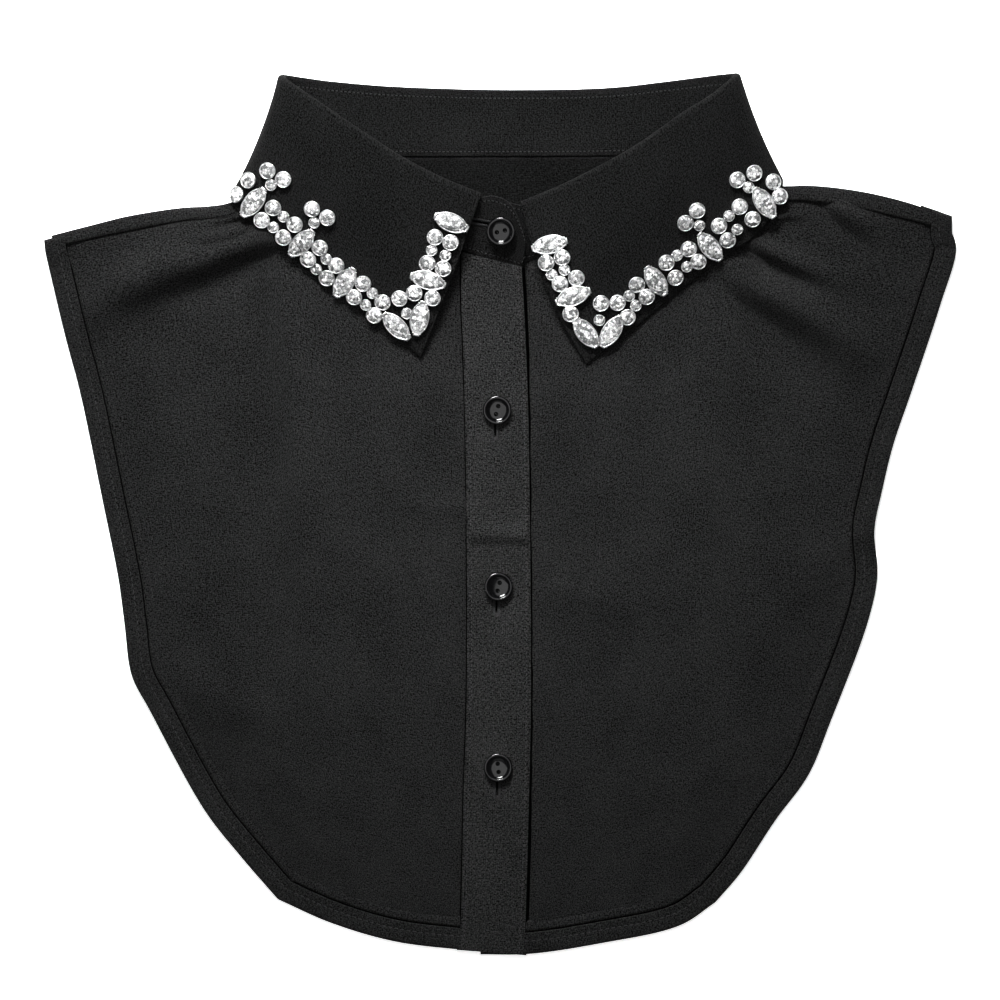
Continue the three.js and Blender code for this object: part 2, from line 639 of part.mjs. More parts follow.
const button = fromSolid(buttonSolid());
const pieceNamed = (name) => collar.children.find((child) => child.name === name);
buttonRows.forEach(({ x, y, turn, carrier }, i) => {
  const mesh = addPiece(`button_${i + 1}`, button.clone(), colours.button, 0.12);
  mesh.applyMatrix4(placeOn(seatOn(pieceNamed(carrier), x, y, buttonSeat), turn));
});

// Stones. A cut stone in its silver cup: rings of one outline, each at a scale and a height.
function ringLoft(outline, rings) {
  const points = rings.flatMap(({ scale, z, shift }) =>
    outline(shift).map(([x, y]) => vec(x * scale, y * scale, z)),
  );
  const sides = outline(0).length;
  const bottom = points.length;
  points.push(vec(0, 0, rings[0].z), vec(0, 0, rings.at(-1).z));
  const faces = [];
  for (let side = 0; side < sides; side += 1) {
    const next = (side + 1) % sides;
    faces.push([bottom, next, side]);
    for (let ring = 0; ring < rings.length - 1; ring += 1) {
      const [low, high] = [ring * sides, (ring + 1) * sides];
      faces.push([low + side, low + next, high + side], [low + next, high + next, high + side]);
    }
    const top = (rings.length - 1) * sides;
    faces.push([bottom + 1, top + side, top + next]);
  }
  return geometryOf(points, faces);
}

const roundOutline = (radius, sides) => (shift) =>
  Array.from({ length: sides }, (_, i) => {
    const angle = ((i + shift) * 2 * Math.PI) / sides;
    return [radius * Math.cos(angle), radius * Math.sin(angle)];
  });

// Two arcs that meet in points at either end.
function navetteOutline() {
  const [a, b] = [navetteLength / 2, navetteWidth / 2];
  const arcRadius = (a * a + b * b) / (2 * b);
  const reach = Math.asin(a / arcRadius);
  const arc = Array.from({ length: navetteSides / 2 }, (_, i) => {
    const angle = reach * (1 - (4 * i) / navetteSides);
    return [arcRadius * Math.sin(angle), arcRadius * Math.cos(angle) - (arcRadius - b)];
  });
  return [...arc, ...arc.map(([x, y]) => [-x, -y])];
}

// The cup's base and its rim, where the stone's facets begin, and the stone's flat table.
const cutRings = (height) => [
  { scale: 0.72, z: 0, shift: 0 },
  { scale: 1, z: 0.52 * height, shift: 0 },
  { scale: 0.52, z: height, shift: 0.5 },
];
const stoneShapes = {
  large: ringLoft(roundOutline(largeRadius, largeSides), cutRings(2.9)),
  small: ringLoft(roundOutline(smallRadius, smallSides), cutRings(2.2)),
  navette: ringLoft(() => navetteOutline(), cutRings(2.9)),
};

// Stones are joined by short links low between the cups, each to its nearest neighbour.
function linkBetween(from, to) {
  const ends = [from, to].map(({ point, normal }) => point.clone().addScaledVector(normal, linkHeight));
  const run = ends[1].clone().sub(ends[0]);
  const length = run.length();
  const side = from.normal.clone().add(to.normal).cross(run).normalize();
  const up = run.clone().cross(side).normalize();
  const turn = new THREE.Matrix4().makeBasis(run.normalize(), side, up);
  turn.setPosition(ends[0].lerp(ends[1], 0.5));
  return solid(new THREE.BoxGeometry(length, linkWidth, linkThickness), turn);
}

function stoneField(rows) {
  const seats = rows.flatMap(({ kind, count, x, y, turn, spacing }) =>
    Array.from({ length: count }, (_, i) => {
      const shift = (i - (count - 1) / 2) * spacing;
      const angle = toRadians(turn);
      const seat = seatOn(leaf, x + shift * Math.cos(angle), y + shift * Math.sin(angle), stoneSeat);
      return { ...seat, kind, turn };
    }),
  );
  const solids = seats.map((seat) => solid(stoneShapes[seat.kind], placeOn(seat, seat.turn)));
  const joined = [seats[0]];
  const loose = seats.slice(1);
  while (loose.length) {
    const pairs = joined.flatMap((from) =>
      loose.map((to) => ({ from, to, distance: from.point.distanceTo(to.point) })),
    );
    const { from, to } = pairs.reduce((best, pair) => (pair.distance < best.distance ? pair : best));
    solids.push(linkBetween(from, to));
    joined.push(to);
    loose.splice(loose.indexOf(to), 1);
  }
  return fromSolid(join(solids));
}

addPiece("rhinestones_left", stoneField(leftStones), colours.stones, 0.1, 0.6);
addPiece("rhinestones_right", stoneField(rightStones), colours.stones, 0.1, 0.6);

export default collar;
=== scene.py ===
import math

import bmesh
import bpy
import numpy as np
from mathutils import Matrix, Vector, noise
from mathutils.bvhtree import BVHTree


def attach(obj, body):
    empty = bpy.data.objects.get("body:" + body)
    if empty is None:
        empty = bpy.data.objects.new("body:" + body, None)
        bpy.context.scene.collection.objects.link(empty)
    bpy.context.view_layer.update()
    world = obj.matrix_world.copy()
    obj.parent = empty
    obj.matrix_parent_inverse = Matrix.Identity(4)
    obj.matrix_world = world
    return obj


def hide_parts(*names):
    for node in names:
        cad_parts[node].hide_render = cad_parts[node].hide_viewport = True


# A detachable black shirt collar with a bib front, laid flat, face up. Sizes in the tables are
# in millimetres and turned to metres when a mesh is made.
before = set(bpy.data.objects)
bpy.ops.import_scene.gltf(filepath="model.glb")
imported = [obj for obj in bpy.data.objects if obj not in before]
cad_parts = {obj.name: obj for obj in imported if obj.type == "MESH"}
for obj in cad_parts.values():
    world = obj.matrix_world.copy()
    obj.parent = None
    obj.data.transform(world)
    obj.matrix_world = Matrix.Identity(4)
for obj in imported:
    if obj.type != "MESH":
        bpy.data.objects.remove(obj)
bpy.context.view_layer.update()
mm = 0.001

cloth = {
    "thickness": 1.0,
    "frontHeight": 2.1,  # middle of the cloth of both fronts above the floor
    "backHeight": 0.5,
    "underLeaf": 1.9,  # the back rides up this far over the leaf that lies below it
    "neckReach": 20.0,  # how far from the collar the fronts take to settle
    "clear": 1.05,  # the fronts can't sink further, because the back lies this far below them
    "swell": 0.6,  # wide unevenness of the lying cloth
    "ripple": 0.24,
    "pucker": 0.16,
}

# The collar from its left front edge round the back to its right front edge: crease, seam on the
# bib, outer edge of the leaf, then the side it falls on in degrees, crease radius, bulge and sway.
collarRows = [
    [-7.8, 131.8, 15.4, -13.5, 108.0, 6.4, -32.4, 64.6, 4.4, 90, 1.6, 0.8, 0.5],
    [-24.6, 138.8, 17.5, -29.5, 113.8, 7.4, -45.9, 75.2, 4.0, 90, 1.8, 1.4, 0],
    [-41.0, 147.4, 19.0, -46.7, 122.8, 8.6, -61.5, 87.5, 4.0, 90, 1.8, 1.6, 0],
    [-57.4, 158.0, 19.0, -64.4, 133.0, 9.4, -76.7, 99.8, 4.2, 90, 1.8, 1.6, 0],
    [-71.8, 167.6, 17.4, -79.4, 141.9, 9.8, -89.0, 110.1, 5.0, 92, 1.8, 1.4, 0],
    [-81.4, 174.2, 15.0, -89.2, 147.2, 9.6, -99.2, 117.5, 6.6, 104, 1.7, 0.8, 0],
    [-86.2, 177.6, 12.0, -94.4, 150.6, 8.8, -106.8, 123.8, 7.2, 132, 1.6, -0.4, 0],
    [-88.0, 179.2, 8.0, -96.8, 151.8, 6.2, -110.3, 129.6, 4.0, 180, 1.2, -2.0, 0],
    [-86.6, 179.4, 4.4, -94.8, 151.2, 3.8, -107.0, 130.8, 0.8, 232, 1.2, -0.8, 0],
    [-80.6, 178.6, 2.6, -88.6, 149.4, 2.8, -97.6, 129.4, 0.7, 262, 0.9, 0, 0],
    [-67.6, 176.9, 2.1, -69.7, 147.8, 2.6, -73.8, 128.1, 0.7, 270, 0.7, 0, 0],
    [-41.0, 174.8, 2.1, -41.0, 147.0, 2.6, -41.8, 127.7, 0.7, 270, 0.7, 0, 0],
    [0.0, 173.6, 2.1, 0.0, 147.0, 2.6, 0.0, 127.7, 0.7, 270, 0.7, 0, 0],
    [41.0, 174.2, 2.1, 41.0, 147.2, 2.6, 41.8, 127.7, 0.7, 270, 0.7, 0, 0],
    [67.6, 176.9, 2.1, 70.5, 148.2, 2.6, 74.6, 128.1, 0.7, 270, 0.7, 0, 0],
    [86.9, 179.4, 2.6, 95.1, 149.4, 2.8, 100.4, 131.0, 0.7, 278, 0.9, 0, 0],
    [93.9, 180.0, 4.4, 102.3, 151.2, 3.8, 111.6, 136.9, 0.8, 308, 1.2, -0.8, 0],
    [95.6, 179.8, 8.0, 104.6, 151.8, 6.2, 115.6, 136.9, 4.8, 360, 1.2, -1.2, 0],
    [93.4, 177.8, 12.0, 100.9, 150.2, 8.8, 114.0, 127.9, 7.2, 408, 1.6, -0.4, 0],
    [85.6, 171.6, 15.4, 91.8, 146.0, 9.6, 106.6, 116.4, 6.6, 436, 1.7, 0.8, 0],
    [73.8, 164.2, 17.8, 79.5, 138.8, 9.6, 93.9, 106.8, 5.0, 448, 1.8, 1.4, 0],
    [57.4, 152.7, 18.8, 63.5, 128.5, 9.0, 81.2, 97.8, 4.2, 450, 1.8, 1.6, 0],
    [41.0, 143.3, 17.8, 46.7, 119.1, 7.8, 65.6, 85.5, 4.0, 450, 1.8, 1.6, 0],
    [24.6, 135.1, 15.0, 29.9, 110.1, 5.6, 50.0, 72.4, 4.0, 450, 1.7, 1.4, -1],
    [8.6, 128.3, 11.9, 13.9, 104.8, 3.0, 35.3, 61.7, 4.4, 450, 1.4, 0.8, -3.4],
]
# The stand's two ends: top edge, then seam. The left end laps over the right one.
tabRows = [
    [10.2, 112.5, 9.9, 10.0, 105.6, 7.4],
    [8.5, 118.7, 12.2, 8.6, 102.0, 6.2],
    [6.0, 124.6, 14.4, 6.2, 102.3, 6.3],
    [3.2, 128.2, 15.2, 3.2, 103.1, 6.4],
    [0.0, 129.9, 15.4, -0.6, 104.0, 6.4],
    [-4.1, 130.8, 15.3, -6.4, 105.7, 6.4],
]
underlapRows = [
    [3.6, 127.9, 11.2, 8.0, 103.7, 2.8],
    [-3.0, 128.6, 11.3, -0.5, 104.2, 2.8],
    [-8.6, 126.6, 10.9, -8.0, 106.2, 3.2],
]
# Each shoulder from the neck to the armhole: fold at the outline, seam on the front, its height.
leftShoulder = [
    [-97.0, 148.4, -94.3, 146.4, 7.6],
    [-101.0, 140.6, -97.8, 138.0, 6.4],
    [-104.3, 133.4, -100.8, 130.8, 5.4],
    [-107.2, 128.9, -104.8, 126.1, 4.6],
    [-112.5, 126.9, -110.5, 122.9, 4.0],
    [-119.5, 125.9, -118.5, 121.9, 3.4],
    [-131.0, 125.2, -129.8, 121.0, 2.9],
    [-151.7, 122.0, -150.2, 117.4, 2.5],
    [-168.0, 118.0, -166.6, 114.0, 2.3],
    [-183.8, 113.9, -181.9, 110.6, 2.2],
]
rightShoulder = [
    [104.8, 148.6, 102.0, 146.6, 7.6],
    [107.8, 143.0, 105.0, 140.2, 6.4],
    [110.6, 138.2, 108.3, 135.0, 5.6],
    [113.6, 134.6, 112.0, 131.0, 4.4],
    [118.4, 134.2, 117.6, 129.6, 3.8],
    [125.0, 134.4, 124.4, 129.4, 3.4],
    [136.0, 133.7, 135.2, 128.2, 3.0],
    [152.0, 131.2, 150.8, 125.4, 2.6],
    [169.8, 126.6, 168.2, 121.4, 2.3],
    [183.0, 121.6, 180.6, 118.2, 2.2],
]
# Outlines of the fronts: armhole from the top corner to the bottom corner, then the bottom.
leftSide = [
    [-186.6, 109.0], [-184.5, 100.0], [-177.9, 72.4], [-172.2, 51.0], [-162.8, 5.9],
    [-156.2, -26.9], [-153.8, -45.0], [-150.9, -65.8], [-143.5, -80.2], [-121.0, -121.2],
    [-106.6, -139.6], [-91.0, -157.6],
]
leftBottom = [[-91.0, -157.6], [-69.7, -167.1], [-43.1, -174.9], [-9.0, -179.0]]
rightSide = [
    [184.8, 116.6], [186.9, 109.0], [180.4, 85.9], [168.1, 49.0], [161.1, 28.5],
    [156.6, 10.0], [153.4, -6.4], [154.6, -24.8], [150.9, -43.3], [135.3, -85.1],
    [126.3, -106.8], [112.8, -125.3], [98.4, -147.0], [88.2, -158.9],
]
rightBottom = [[88.2, -158.9], [73.8, -168.3], [41.0, -175.7], [12.0, -180.0], [-8.0, -180.2]]
leftLap = [[-15.6, 107.8, 4.4], [-9.0, 105.6, 4.0]]
rightLap = [[4.0, 101.6, 2.6], [-8.0, 102.4, 2.4]]

# Soft folds of the fronts: a path, then widths and heights at even steps along it. Crests and
# hollows side by side make the valleys that run out from under the collar's leaf.
folds = [
    [[[-90.2, 112.6], [-106.6, 109.4], [-123.0, 102.8], [-139.4, 97.5], [-155.8, 89.7], [-164.0, 83.0]],
     (5.4, 6.6, 8.0, 9.6, 10.8), (2.0, 7.8, 8.4, 7.8, 4.4)],
    [[[-126.0, 108.0], [-142.0, 104.0], [-158.0, 97.0]], (8, 9), (1.2, 2.6, 1.6)],
    [[[-88.6, 106.4], [-105.0, 103.2], [-121.4, 96.6], [-137.8, 91.3], [-154.2, 83.5], [-164.0, 76.0]],
     (5.6, 7.5, 10.0), (-3.0, -2.6, -1.4)],
    [[[-102.0, 119.0], [-128.0, 114.0]], (10, 11), (2.2, 1.4)],
    [[[-103.6, 121.0], [-110.7, 119.6], [-117.7, 117.4]], (2.0, 2.4), (-3.4, -3.0, -0.6)],
    [[[-103.4, 123.4], [-110.2, 121.6], [-118.0, 119.8]], (1.5, 1.7), (1.2, 1.6, 0.3)],
    [[[-100.6, 119.0], [-107.6, 115.8], [-116.0, 113.6], [-124.0, 112.8]],
     (1.8, 2.2), (2.2, 2.8, 2.2, 0.4)],
    [[[-101.5, 118.6], [-106.6, 115.0], [-114.8, 112.1], [-123.0, 110.1], [-130.0, 112.0]],
     (2.2, 2.8), (-3.4, -3.0, -2.4, -1.6, -0.2)],
    [[[-140.0, -60.0], [-118.0, -76.0], [-94.0, -84.0]], (11, 12), (1.2, 4.4, 1.8)],
    [[[93.1, 101.2], [108.2, 91.6], [123.0, 83.8], [137.4, 75.0], [148.0, 67.0]],
     (6.4, 8.4, 10.8), (1.4, 7.6, 8.6, 7.8, 3.8)],
    [[[88.0, 92.0], [102.5, 81.5], [117.0, 73.2], [131.0, 65.6]], (6, 8, 9), (-1.8, -1.6, -0.6)],
    [[[102.6, 112.6], [110.7, 108.4], [118.9, 104.2], [128.3, 100.2], [137.8, 95.8]],
     (3.2, 4.2, 5.4), (1.4, 5.2, 5.2, 4.2, 1.6)],
    [[[100.4, 107.6], [107.8, 103.3], [116.0, 98.8], [125.9, 94.6], [135.3, 90.4]],
     (2.8, 3.6, 4.2), (-2.6, -2.8, -2.4, -1.6, -0.3)],
    [[[111.0, 117.4], [117.0, 119.2], [124.0, 119.9]], (2.4, 2.8), (-2.6, -2.4, -0.6)],
    [[[109.4, 120.2], [115.6, 121.8], [123.0, 122.4]], (1.9, 2.3), (1.8, 2.2, 0.6)],
    [[[134.4, 130.0], [142.4, 123.6], [151.5, 117.6], [158.0, 113.0]],
     (4.6, 5.4, 6.6), (1.6, 4.8, 4.0, 1.2)],
    [[[131.2, 127.2], [138.2, 119.0], [146.4, 112.0], [154.0, 110.0]],
     (2.8, 3.8, 5.0), (-2.4, -2.2, -1.4, 0)],
    [[[151.7, 84.7], [158.0, 85.5], [165.2, 85.1]], (1.8, 2.0), (-0.6, -0.9, -0.6)],
    [[[150.9, -8.5], [141.5, -14.7], [130.2, -30.0], [125.0, -47.0]], (9, 12, 14), (1.6, 1.8, 1.4, 0.5)],
    [[[152.0, -15.5], [142.5, -22.7], [130.2, -39.1], [123.0, -56.5]], (6, 9), (-1.4, -1.0, -0.5)],
    [[[-49.0, 5.4], [-32.0, 3.4], [-16.0, 3.0]], (5.0, 5.0), (0, 1.0, 1.5)],
    [[[25.0, -31.0], [42.0, -36.0], [64.0, -46.0]], (6.0, 8.0), (1.2, 1.2, 0)],
    [[[-18.0, 100.0], [-18.0, 0.0], [-18.0, -170.0]], (9, 9), (0.5, 0.5, 0.3)],
    [[[14.0, 96.0], [14.5, 0.0], [13.0, -172.0]], (10, 11), (1.0, 1.0, 0.7)],
]


# Shape helpers
def smoothStep(value, low, high):
    t = np.clip((value - low) / (high - low), 0, 1)
    return t * t * (3 - 2 * t)


def unit(vectors):
    return vectors / np.maximum(np.linalg.norm(vectors, axis=-1, keepdims=True), 1e-9)


def refine(rows, steps):
    # more rows on a smooth curve through every column of a table
    rows = np.array(rows, float)
    near = np.vstack([rows[:1], rows, rows[-1:]])
    fine = []
    for i in range(len(rows) - 1):
        before, start, end, after = near[i : i + 4]
        for t in np.arange(steps) / steps:
            fine.append(
                0.5 * before * (-t + 2 * t**2 - t**3)
                + 0.5 * start * (2 - 5 * t**2 + 3 * t**3)
                + 0.5 * end * (t + 4 * t**2 - 3 * t**3)
                + 0.5 * after * (t**3 - t**2)
            )
    fine.append(rows[-1])
    return np.array(fine)


def smoothLine(points, steps=12):
    # a rounded line through the points, whose knots follow the root of their spacing
    points = np.array(points, float)
    run = np.vstack([2 * points[0] - points[1], points, 2 * points[-1] - points[-2]])
    line = []
    for i in range(1, len(run) - 2):
        p0, p1, p2, p3 = run[i - 1 : i + 3]
        t1 = np.linalg.norm(p1 - p0) ** 0.5
        t2 = t1 + np.linalg.norm(p2 - p1) ** 0.5
        t3 = t2 + np.linalg.norm(p3 - p2) ** 0.5
        for t in np.linspace(t1, t2, steps, endpoint=False):
            a1 = (p0 * (t1 - t) + p1 * t) / t1
            a2 = (p1 * (t2 - t) + p2 * (t - t1)) / (t2 - t1)
            a3 = (p2 * (t3 - t) + p3 * (t - t2)) / (t3 - t2)
            b1 = (a1 * (t2 - t) + a2 * t) / t2
            b2 = (a2 * (t3 - t) + a3 * (t - t1)) / (t3 - t1)
            line.append((b1 * (t2 - t) + b2 * (t - t1)) / (t2 - t1))
    line.append(points[-1])
    return np.array(line)


def lengths(line):
    return np.concatenate([[0], np.cumsum(np.linalg.norm(np.diff(line, axis=0), axis=1))])


def spaced(line, shares):
    # points of a line at shares of its length, or at that many even steps
    if np.isscalar(shares):
        shares = np.linspace(0, 1, shares)
    run = lengths(line)
    return np.stack([np.interp(shares * run[-1], run, column) for column in line.T], axis=1)


def patch(top, bottom, left, right, u, v):
    # a sheet between four lines that meet at their ends
    u, v = u[None, :, None], v[:, None, None]
    sides = left[:, None] * (1 - u) + right[:, None] * u
    ends = top[None] * (1 - v) + bottom[None] * v
    corners = (top[0] * (1 - u) + top[-1] * u) * (1 - v) + (bottom[0] * (1 - u) + bottom[-1] * u) * v
    return sides + ends - corners


def noiseAt(points, grain, seed):
    # a soft random height from -1 to 1 with lumps of about one grain
    spots = points[..., :2].reshape(-1, 2) / grain
    found = [noise.noise(Vector((x, y, seed))) for x, y in spots]
    return np.array(found).reshape(points.shape[:-1])


def squaredTo(points, line):
    # squared distances, seen from above, of every point to every point of a line
    x, y = points[..., 0].ravel(), points[..., 1].ravel()
    return (x[:, None] - line[None, :, 0]) ** 2 + (y[:, None] - line[None, :, 1]) ** 2


def heights(points, z):
    return np.concatenate([points, np.asarray(z)[..., None]], axis=-1)


# Mesh helpers
def runAcross(points):
    # how far from its first column each column of a grid lies, measured along the sheet
    return np.append(0, np.cumsum(np.linalg.norm(np.diff(points, axis=1), axis=2).mean(0)))


def clothSheet(name, grids, settings, material):
    # one mesh of joined grids of points, with a UV map in millimetres along the threads
    bm = bmesh.new()
    weave = bm.loops.layers.uv.new("weave")
    for points in grids:
        rows, columns = points.shape[:2]
        made = bmesh.ops.create_grid(bm, x_segments=columns - 1, y_segments=rows - 1, size=1)["verts"]
        across, along = runAcross(points), runAcross(points.swapaxes(0, 1))
        places = {}
        for vert in made:
            j = round((vert.co.x + 1) / 2 * (columns - 1))
            i = round((vert.co.y + 1) / 2 * (rows - 1))
            places[vert] = (across[j], along[i])
            vert.co = Vector(points[i, j]) * mm
        for face in {face for vert in made for face in vert.link_faces}:
            for loop in face.loops:
                loop[weave].uv = places[loop.vert]
    if len(grids) > 1:
        bmesh.ops.remove_doubles(bm, verts=bm.verts, dist=1e-6)
    bmesh.ops.recalc_face_normals(bm, faces=bm.faces)
    piece = addPiece(name, bm, [material])
    wall = piece.modifiers.new("thickness", "SOLIDIFY")
    wall.thickness = settings["thickness"] * mm
    wall.offset = 0
    if settings.get("round"):
        rim = piece.modifiers.new("turned edge", "BEVEL")
        rim.width = settings["round"] * mm
        rim.segments = 2
        rim.limit_method = "ANGLE"
        rim.angle_limit = math.radians(60)
    return piece


def shadeStrip(piece, points, first, last, material):
    # the faces between two columns of a sheet's grid get another material; here it paints shade into
    # creases and gaps
    across = runAcross(points)
    weave = piece.data.uv_layers["weave"].data
    if material.name not in piece.data.materials:
        piece.data.materials.append(material)
    for polygon in piece.data.polygons:
        middle = sum(weave[k].uv.x for k in polygon.loop_indices) / polygon.loop_total
        if across[first] < middle < across[last]:
            polygon.material_index = len(piece.data.materials) - 1


def addPiece(name, bm, materials, body="root", smooth=True):
    mesh = bpy.data.meshes.new(name)
    for face in bm.faces:
        face.smooth = smooth or face.smooth
    bm.to_mesh(mesh)
    bm.free()
    for material in materials:
        mesh.materials.append(material)
    piece = bpy.data.objects.new(name, mesh)
    bpy.context.scene.collection.objects.link(piece)
    if body:
        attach(piece, body)
    return piece


def gridNormals(points):
    along = np.gradient(points, axis=0)
    across = np.gradient(points, axis=1)
    return unit(np.cross(across, along))


def gridLine(points, share, lengthwise=True, side=1):
    # a line across a grid of points at one share of its width, and the way the grid faces there
    normals = gridNormals(points)
    if not lengthwise:
        points, normals = points.swapaxes(0, 1), normals.swapaxes(0, 1)
    place = share * (points.shape[1] - 1)
    low = min(int(place), points.shape[1] - 2)
    mix = place - low
    line = points[:, low] * (1 - mix) + points[:, low + 1] * mix
    faces = normals[:, low] * (1 - mix) + normals[:, low + 1] * mix
    if side == "up":
        faces = faces * np.sign(faces[:, 2:3] + 1e-6)
        side = 1
    return line, unit(faces) * side


def sewStitches(strands, line, faces, settings, lift):
    # short rounded threads end to end along a line, with a near-black dimple of painted shade at the needle
    # hole between each two
    run = lengths(line)
    pitch = settings["length"] + settings["gap"]
    count = int(run[-1] // pitch)

    def at(place, values=line):
        return np.array([np.interp(place, run, column) for column in values.T])

    for k in range(count):
        middle = (k + 0.5) * run[-1] / count
        face = Vector(at(middle, faces)).normalized()
        half = settings["length"] / 2
        layThread(strands, at(middle - half), at(middle + half), face, settings["width"], lift + 0.06)
        # the needle hole: a flat near-black dimple, painted shade
        hole = at(middle + pitch / 2)
        slight = (at(middle + pitch / 2 + 0.1) - hole) * settings["gap"] * 3.2
        layThread(strands, hole - slight, hole + slight, face, settings["hole"], lift - 0.02, 0.35, 1)


def layThread(strands, start, end, face, width, lift, flat=0.8, threadOrShade=0):
    start, end = Vector(start), Vector(end)
    run = end - start
    along = run.normalized()
    side = face.cross(along).normalized()
    up = along.cross(side)
    turn = Matrix((along, side, up)).transposed().to_4x4()
    turn.translation = ((start + end) / 2 + up * lift) * mm
    size = Matrix.Diagonal((run.length / 2 * mm, width / 2 * mm, width * flat / 2 * mm, 1))
    strands.append((turn @ size, threadOrShade))


def threadPiece(name, strands):
    # builds the threads a hundred at a time, which is quicker than in one growing mesh
    whole = bmesh.new()
    for first in range(0, len(strands), 100):
        part = bmesh.new()
        for matrix, threadOrShade in strands[first : first + 100]:
            made = bmesh.ops.create_icosphere(part, subdivisions=1, radius=1, matrix=matrix)["verts"]
            for face in {face for vert in made for face in vert.link_faces}:
                face.material_index = threadOrShade
        gather(whole, part)
    # slot 0 is the thread, slot 1 the near-black painted shade of holes and slits
    piece = addPiece(name, whole, [thread, holeShade])


def gather(whole, part):
    scrap = bpy.data.meshes.new("scrap")
    part.to_mesh(scrap)
    part.free()
    whole.from_mesh(scrap)
    bpy.data.meshes.remove(scrap)


# Materials
def linear(code):
    parts = [int(code[i : i + 2], 16) / 255 for i in (1, 3, 5)]
    return [*(c / 12.92 if c <= 0.04045 else ((c + 0.055) / 1.055) ** 2.4 for c in parts), 1]


def addNode(tree, kind, settings=None, inputs=None):
    node = tree.nodes.new(kind)
    for name, value in (settings or {}).items():
        setattr(node, name, value)
    for socket, value in (inputs or {}).items():
        if isinstance(value, bpy.types.NodeSocket):
            tree.links.new(value, node.inputs[socket])
        else:
            node.inputs[socket].default_value = value
    return node


def newMaterial(name, constants):
    material = bpy.data.materials.new(name)
    material.use_nodes = True
    tree = material.node_tree
    shader = tree.nodes["Principled BSDF"]
    for socket, value in constants.items():
        shader.inputs[socket].default_value = value
    return material, tree, shader


def colourRamp(tree, factor, stops):
    ramp = addNode(tree, "ShaderNodeValToRGB", inputs={"Fac": factor})
    elements = ramp.color_ramp.elements
    while len(elements) < len(stops):
        elements.new(0.5)
    for element, (place, code) in zip(elements, stops):
        element.position = place
        element.color = linear(code)
    return ramp.outputs["Color"]


def objectPlace(tree):
    return addNode(tree, "ShaderNodeTexCoord").outputs["Object"]


def grainOf(tree, place, scale, detail=2.0, roughness=0.5, distortion=0.0):
    inputs = {"Vector": place, "Scale": scale, "Detail": detail, "Roughness": roughness}
    inputs["Distortion"] = distortion
    return addNode(tree, "ShaderNodeTexNoise", inputs=inputs).outputs["Fac"]


def ranged(tree, value, toMin, toMax, fromMin=0.0, fromMax=1.0):
    inputs = {"Value": value, "From Min": fromMin, "From Max": fromMax, "To Min": toMin, "To Max": toMax}
    return addNode(tree, "ShaderNodeMapRange", inputs=inputs).outputs[0]


def computed(tree, operation, *values, clamp=False):
    settings = {"operation": operation, "use_clamp": clamp}
    return addNode(tree, "ShaderNodeMath", settings, dict(enumerate(values))).outputs[0]


def shadeWith(tree, shader, colour, roughness=None, bump=None):
    # a bump is a height, its strength and its depth in millimetres
    tree.links.new(colour, shader.inputs["Base Color"])
    if roughness:
        tree.links.new(roughness, shader.inputs["Roughness"])
    if bump:
        inputs = {"Height": bump[0], "Strength": bump[1], "Distance": bump[2] * mm}
        tree.links.new(addNode(tree, "ShaderNodeBump", inputs=inputs).outputs[0], shader.inputs["Normal"])


# Crepe: black cotton and viscose woven with hard-twisted weft. The eye sees a dry, dull black
# with a pebbled grain; the yarns are 0.35 mm apart, too fine here, so they are drawn at 0.8 mm.
crepe = {
    "yarnPitch": 0.8,
    "waveScale": 0.31416,  # what makes the bands of a wave texture one unit wide
    "grain": 0.66,
    "cloudSize": 26,
    "depth": 0.3,
    "bib": ("#060606", "#3b3b3b"),
    # a darker copy of the crepe for inside the neck: painted shade
    "back": ("#040404", "#252525"),
    "hem": ("#050505", "#3c3c3c"),
    "band": ("#070707", "#454545"),
    # darker than the bib for the collar's stand and leaf: painted shade where the collar falls away from
    # the light
    "collar": ("#040404", "#2e2e2e"),
}


def crepeCloth(name, tones):
    constants = {"Specular IOR Level": 0.06, "Sheen Weight": 0.02, "Sheen Roughness": 0.6, "Metallic": 0.0}
    material, tree, shader = newMaterial(name, constants)
    place = addNode(tree, "ShaderNodeUVMap", {"uv_map": "weave"}).outputs["UV"]
    pebble = grainOf(tree, place, 1 / crepe["grain"], 1.6, 0.6, 0.4)
    waves = {"Vector": place, "Scale": crepe["waveScale"] / crepe["yarnPitch"], "Distortion": 5.0}
    waves.update({"Detail": 2.0, "Detail Scale": 1.6})
    yarns = []
    for way in ("X", "Y"):
        wave = addNode(tree, "ShaderNodeTexWave", {"bands_direction": way}, waves)
        yarns.append(wave.outputs["Fac"])
    woven = computed(tree, "MULTIPLY", *yarns)
    height = computed(tree, "MULTIPLY_ADD", woven, 0.12, pebble)
    cloud = grainOf(tree, place, 1 / crepe["cloudSize"])
    tone = ranged(tree, computed(tree, "MULTIPLY_ADD", cloud, 0.14, height), 0.0, 1.0, 0.435, 0.795)
    colour = colourRamp(tree, tone, [(0.0, tones[0]), (1.0, tones[1])])
    roughness = ranged(tree, pebble, 0.98, 0.82, 0.3, 0.7)
    shadeWith(tree, shader, colour, roughness, (height, 0.8, crepe["depth"]))
    return material


# Spun polyester sewing thread: a dull black with a slight silky streak along each stitch.
def sewingThread():
    material, tree, shader = newMaterial("spun polyester thread", {"Specular IOR Level": 0.3})
    twist = grainOf(tree, objectPlace(tree), 2600.0, 1.0)
    colour = colourRamp(tree, twist, [(0.35, "#272728"), (0.7, "#414142")])
    shadeWith(tree, shader, colour, ranged(tree, twist, 0.45, 0.75))
    return material


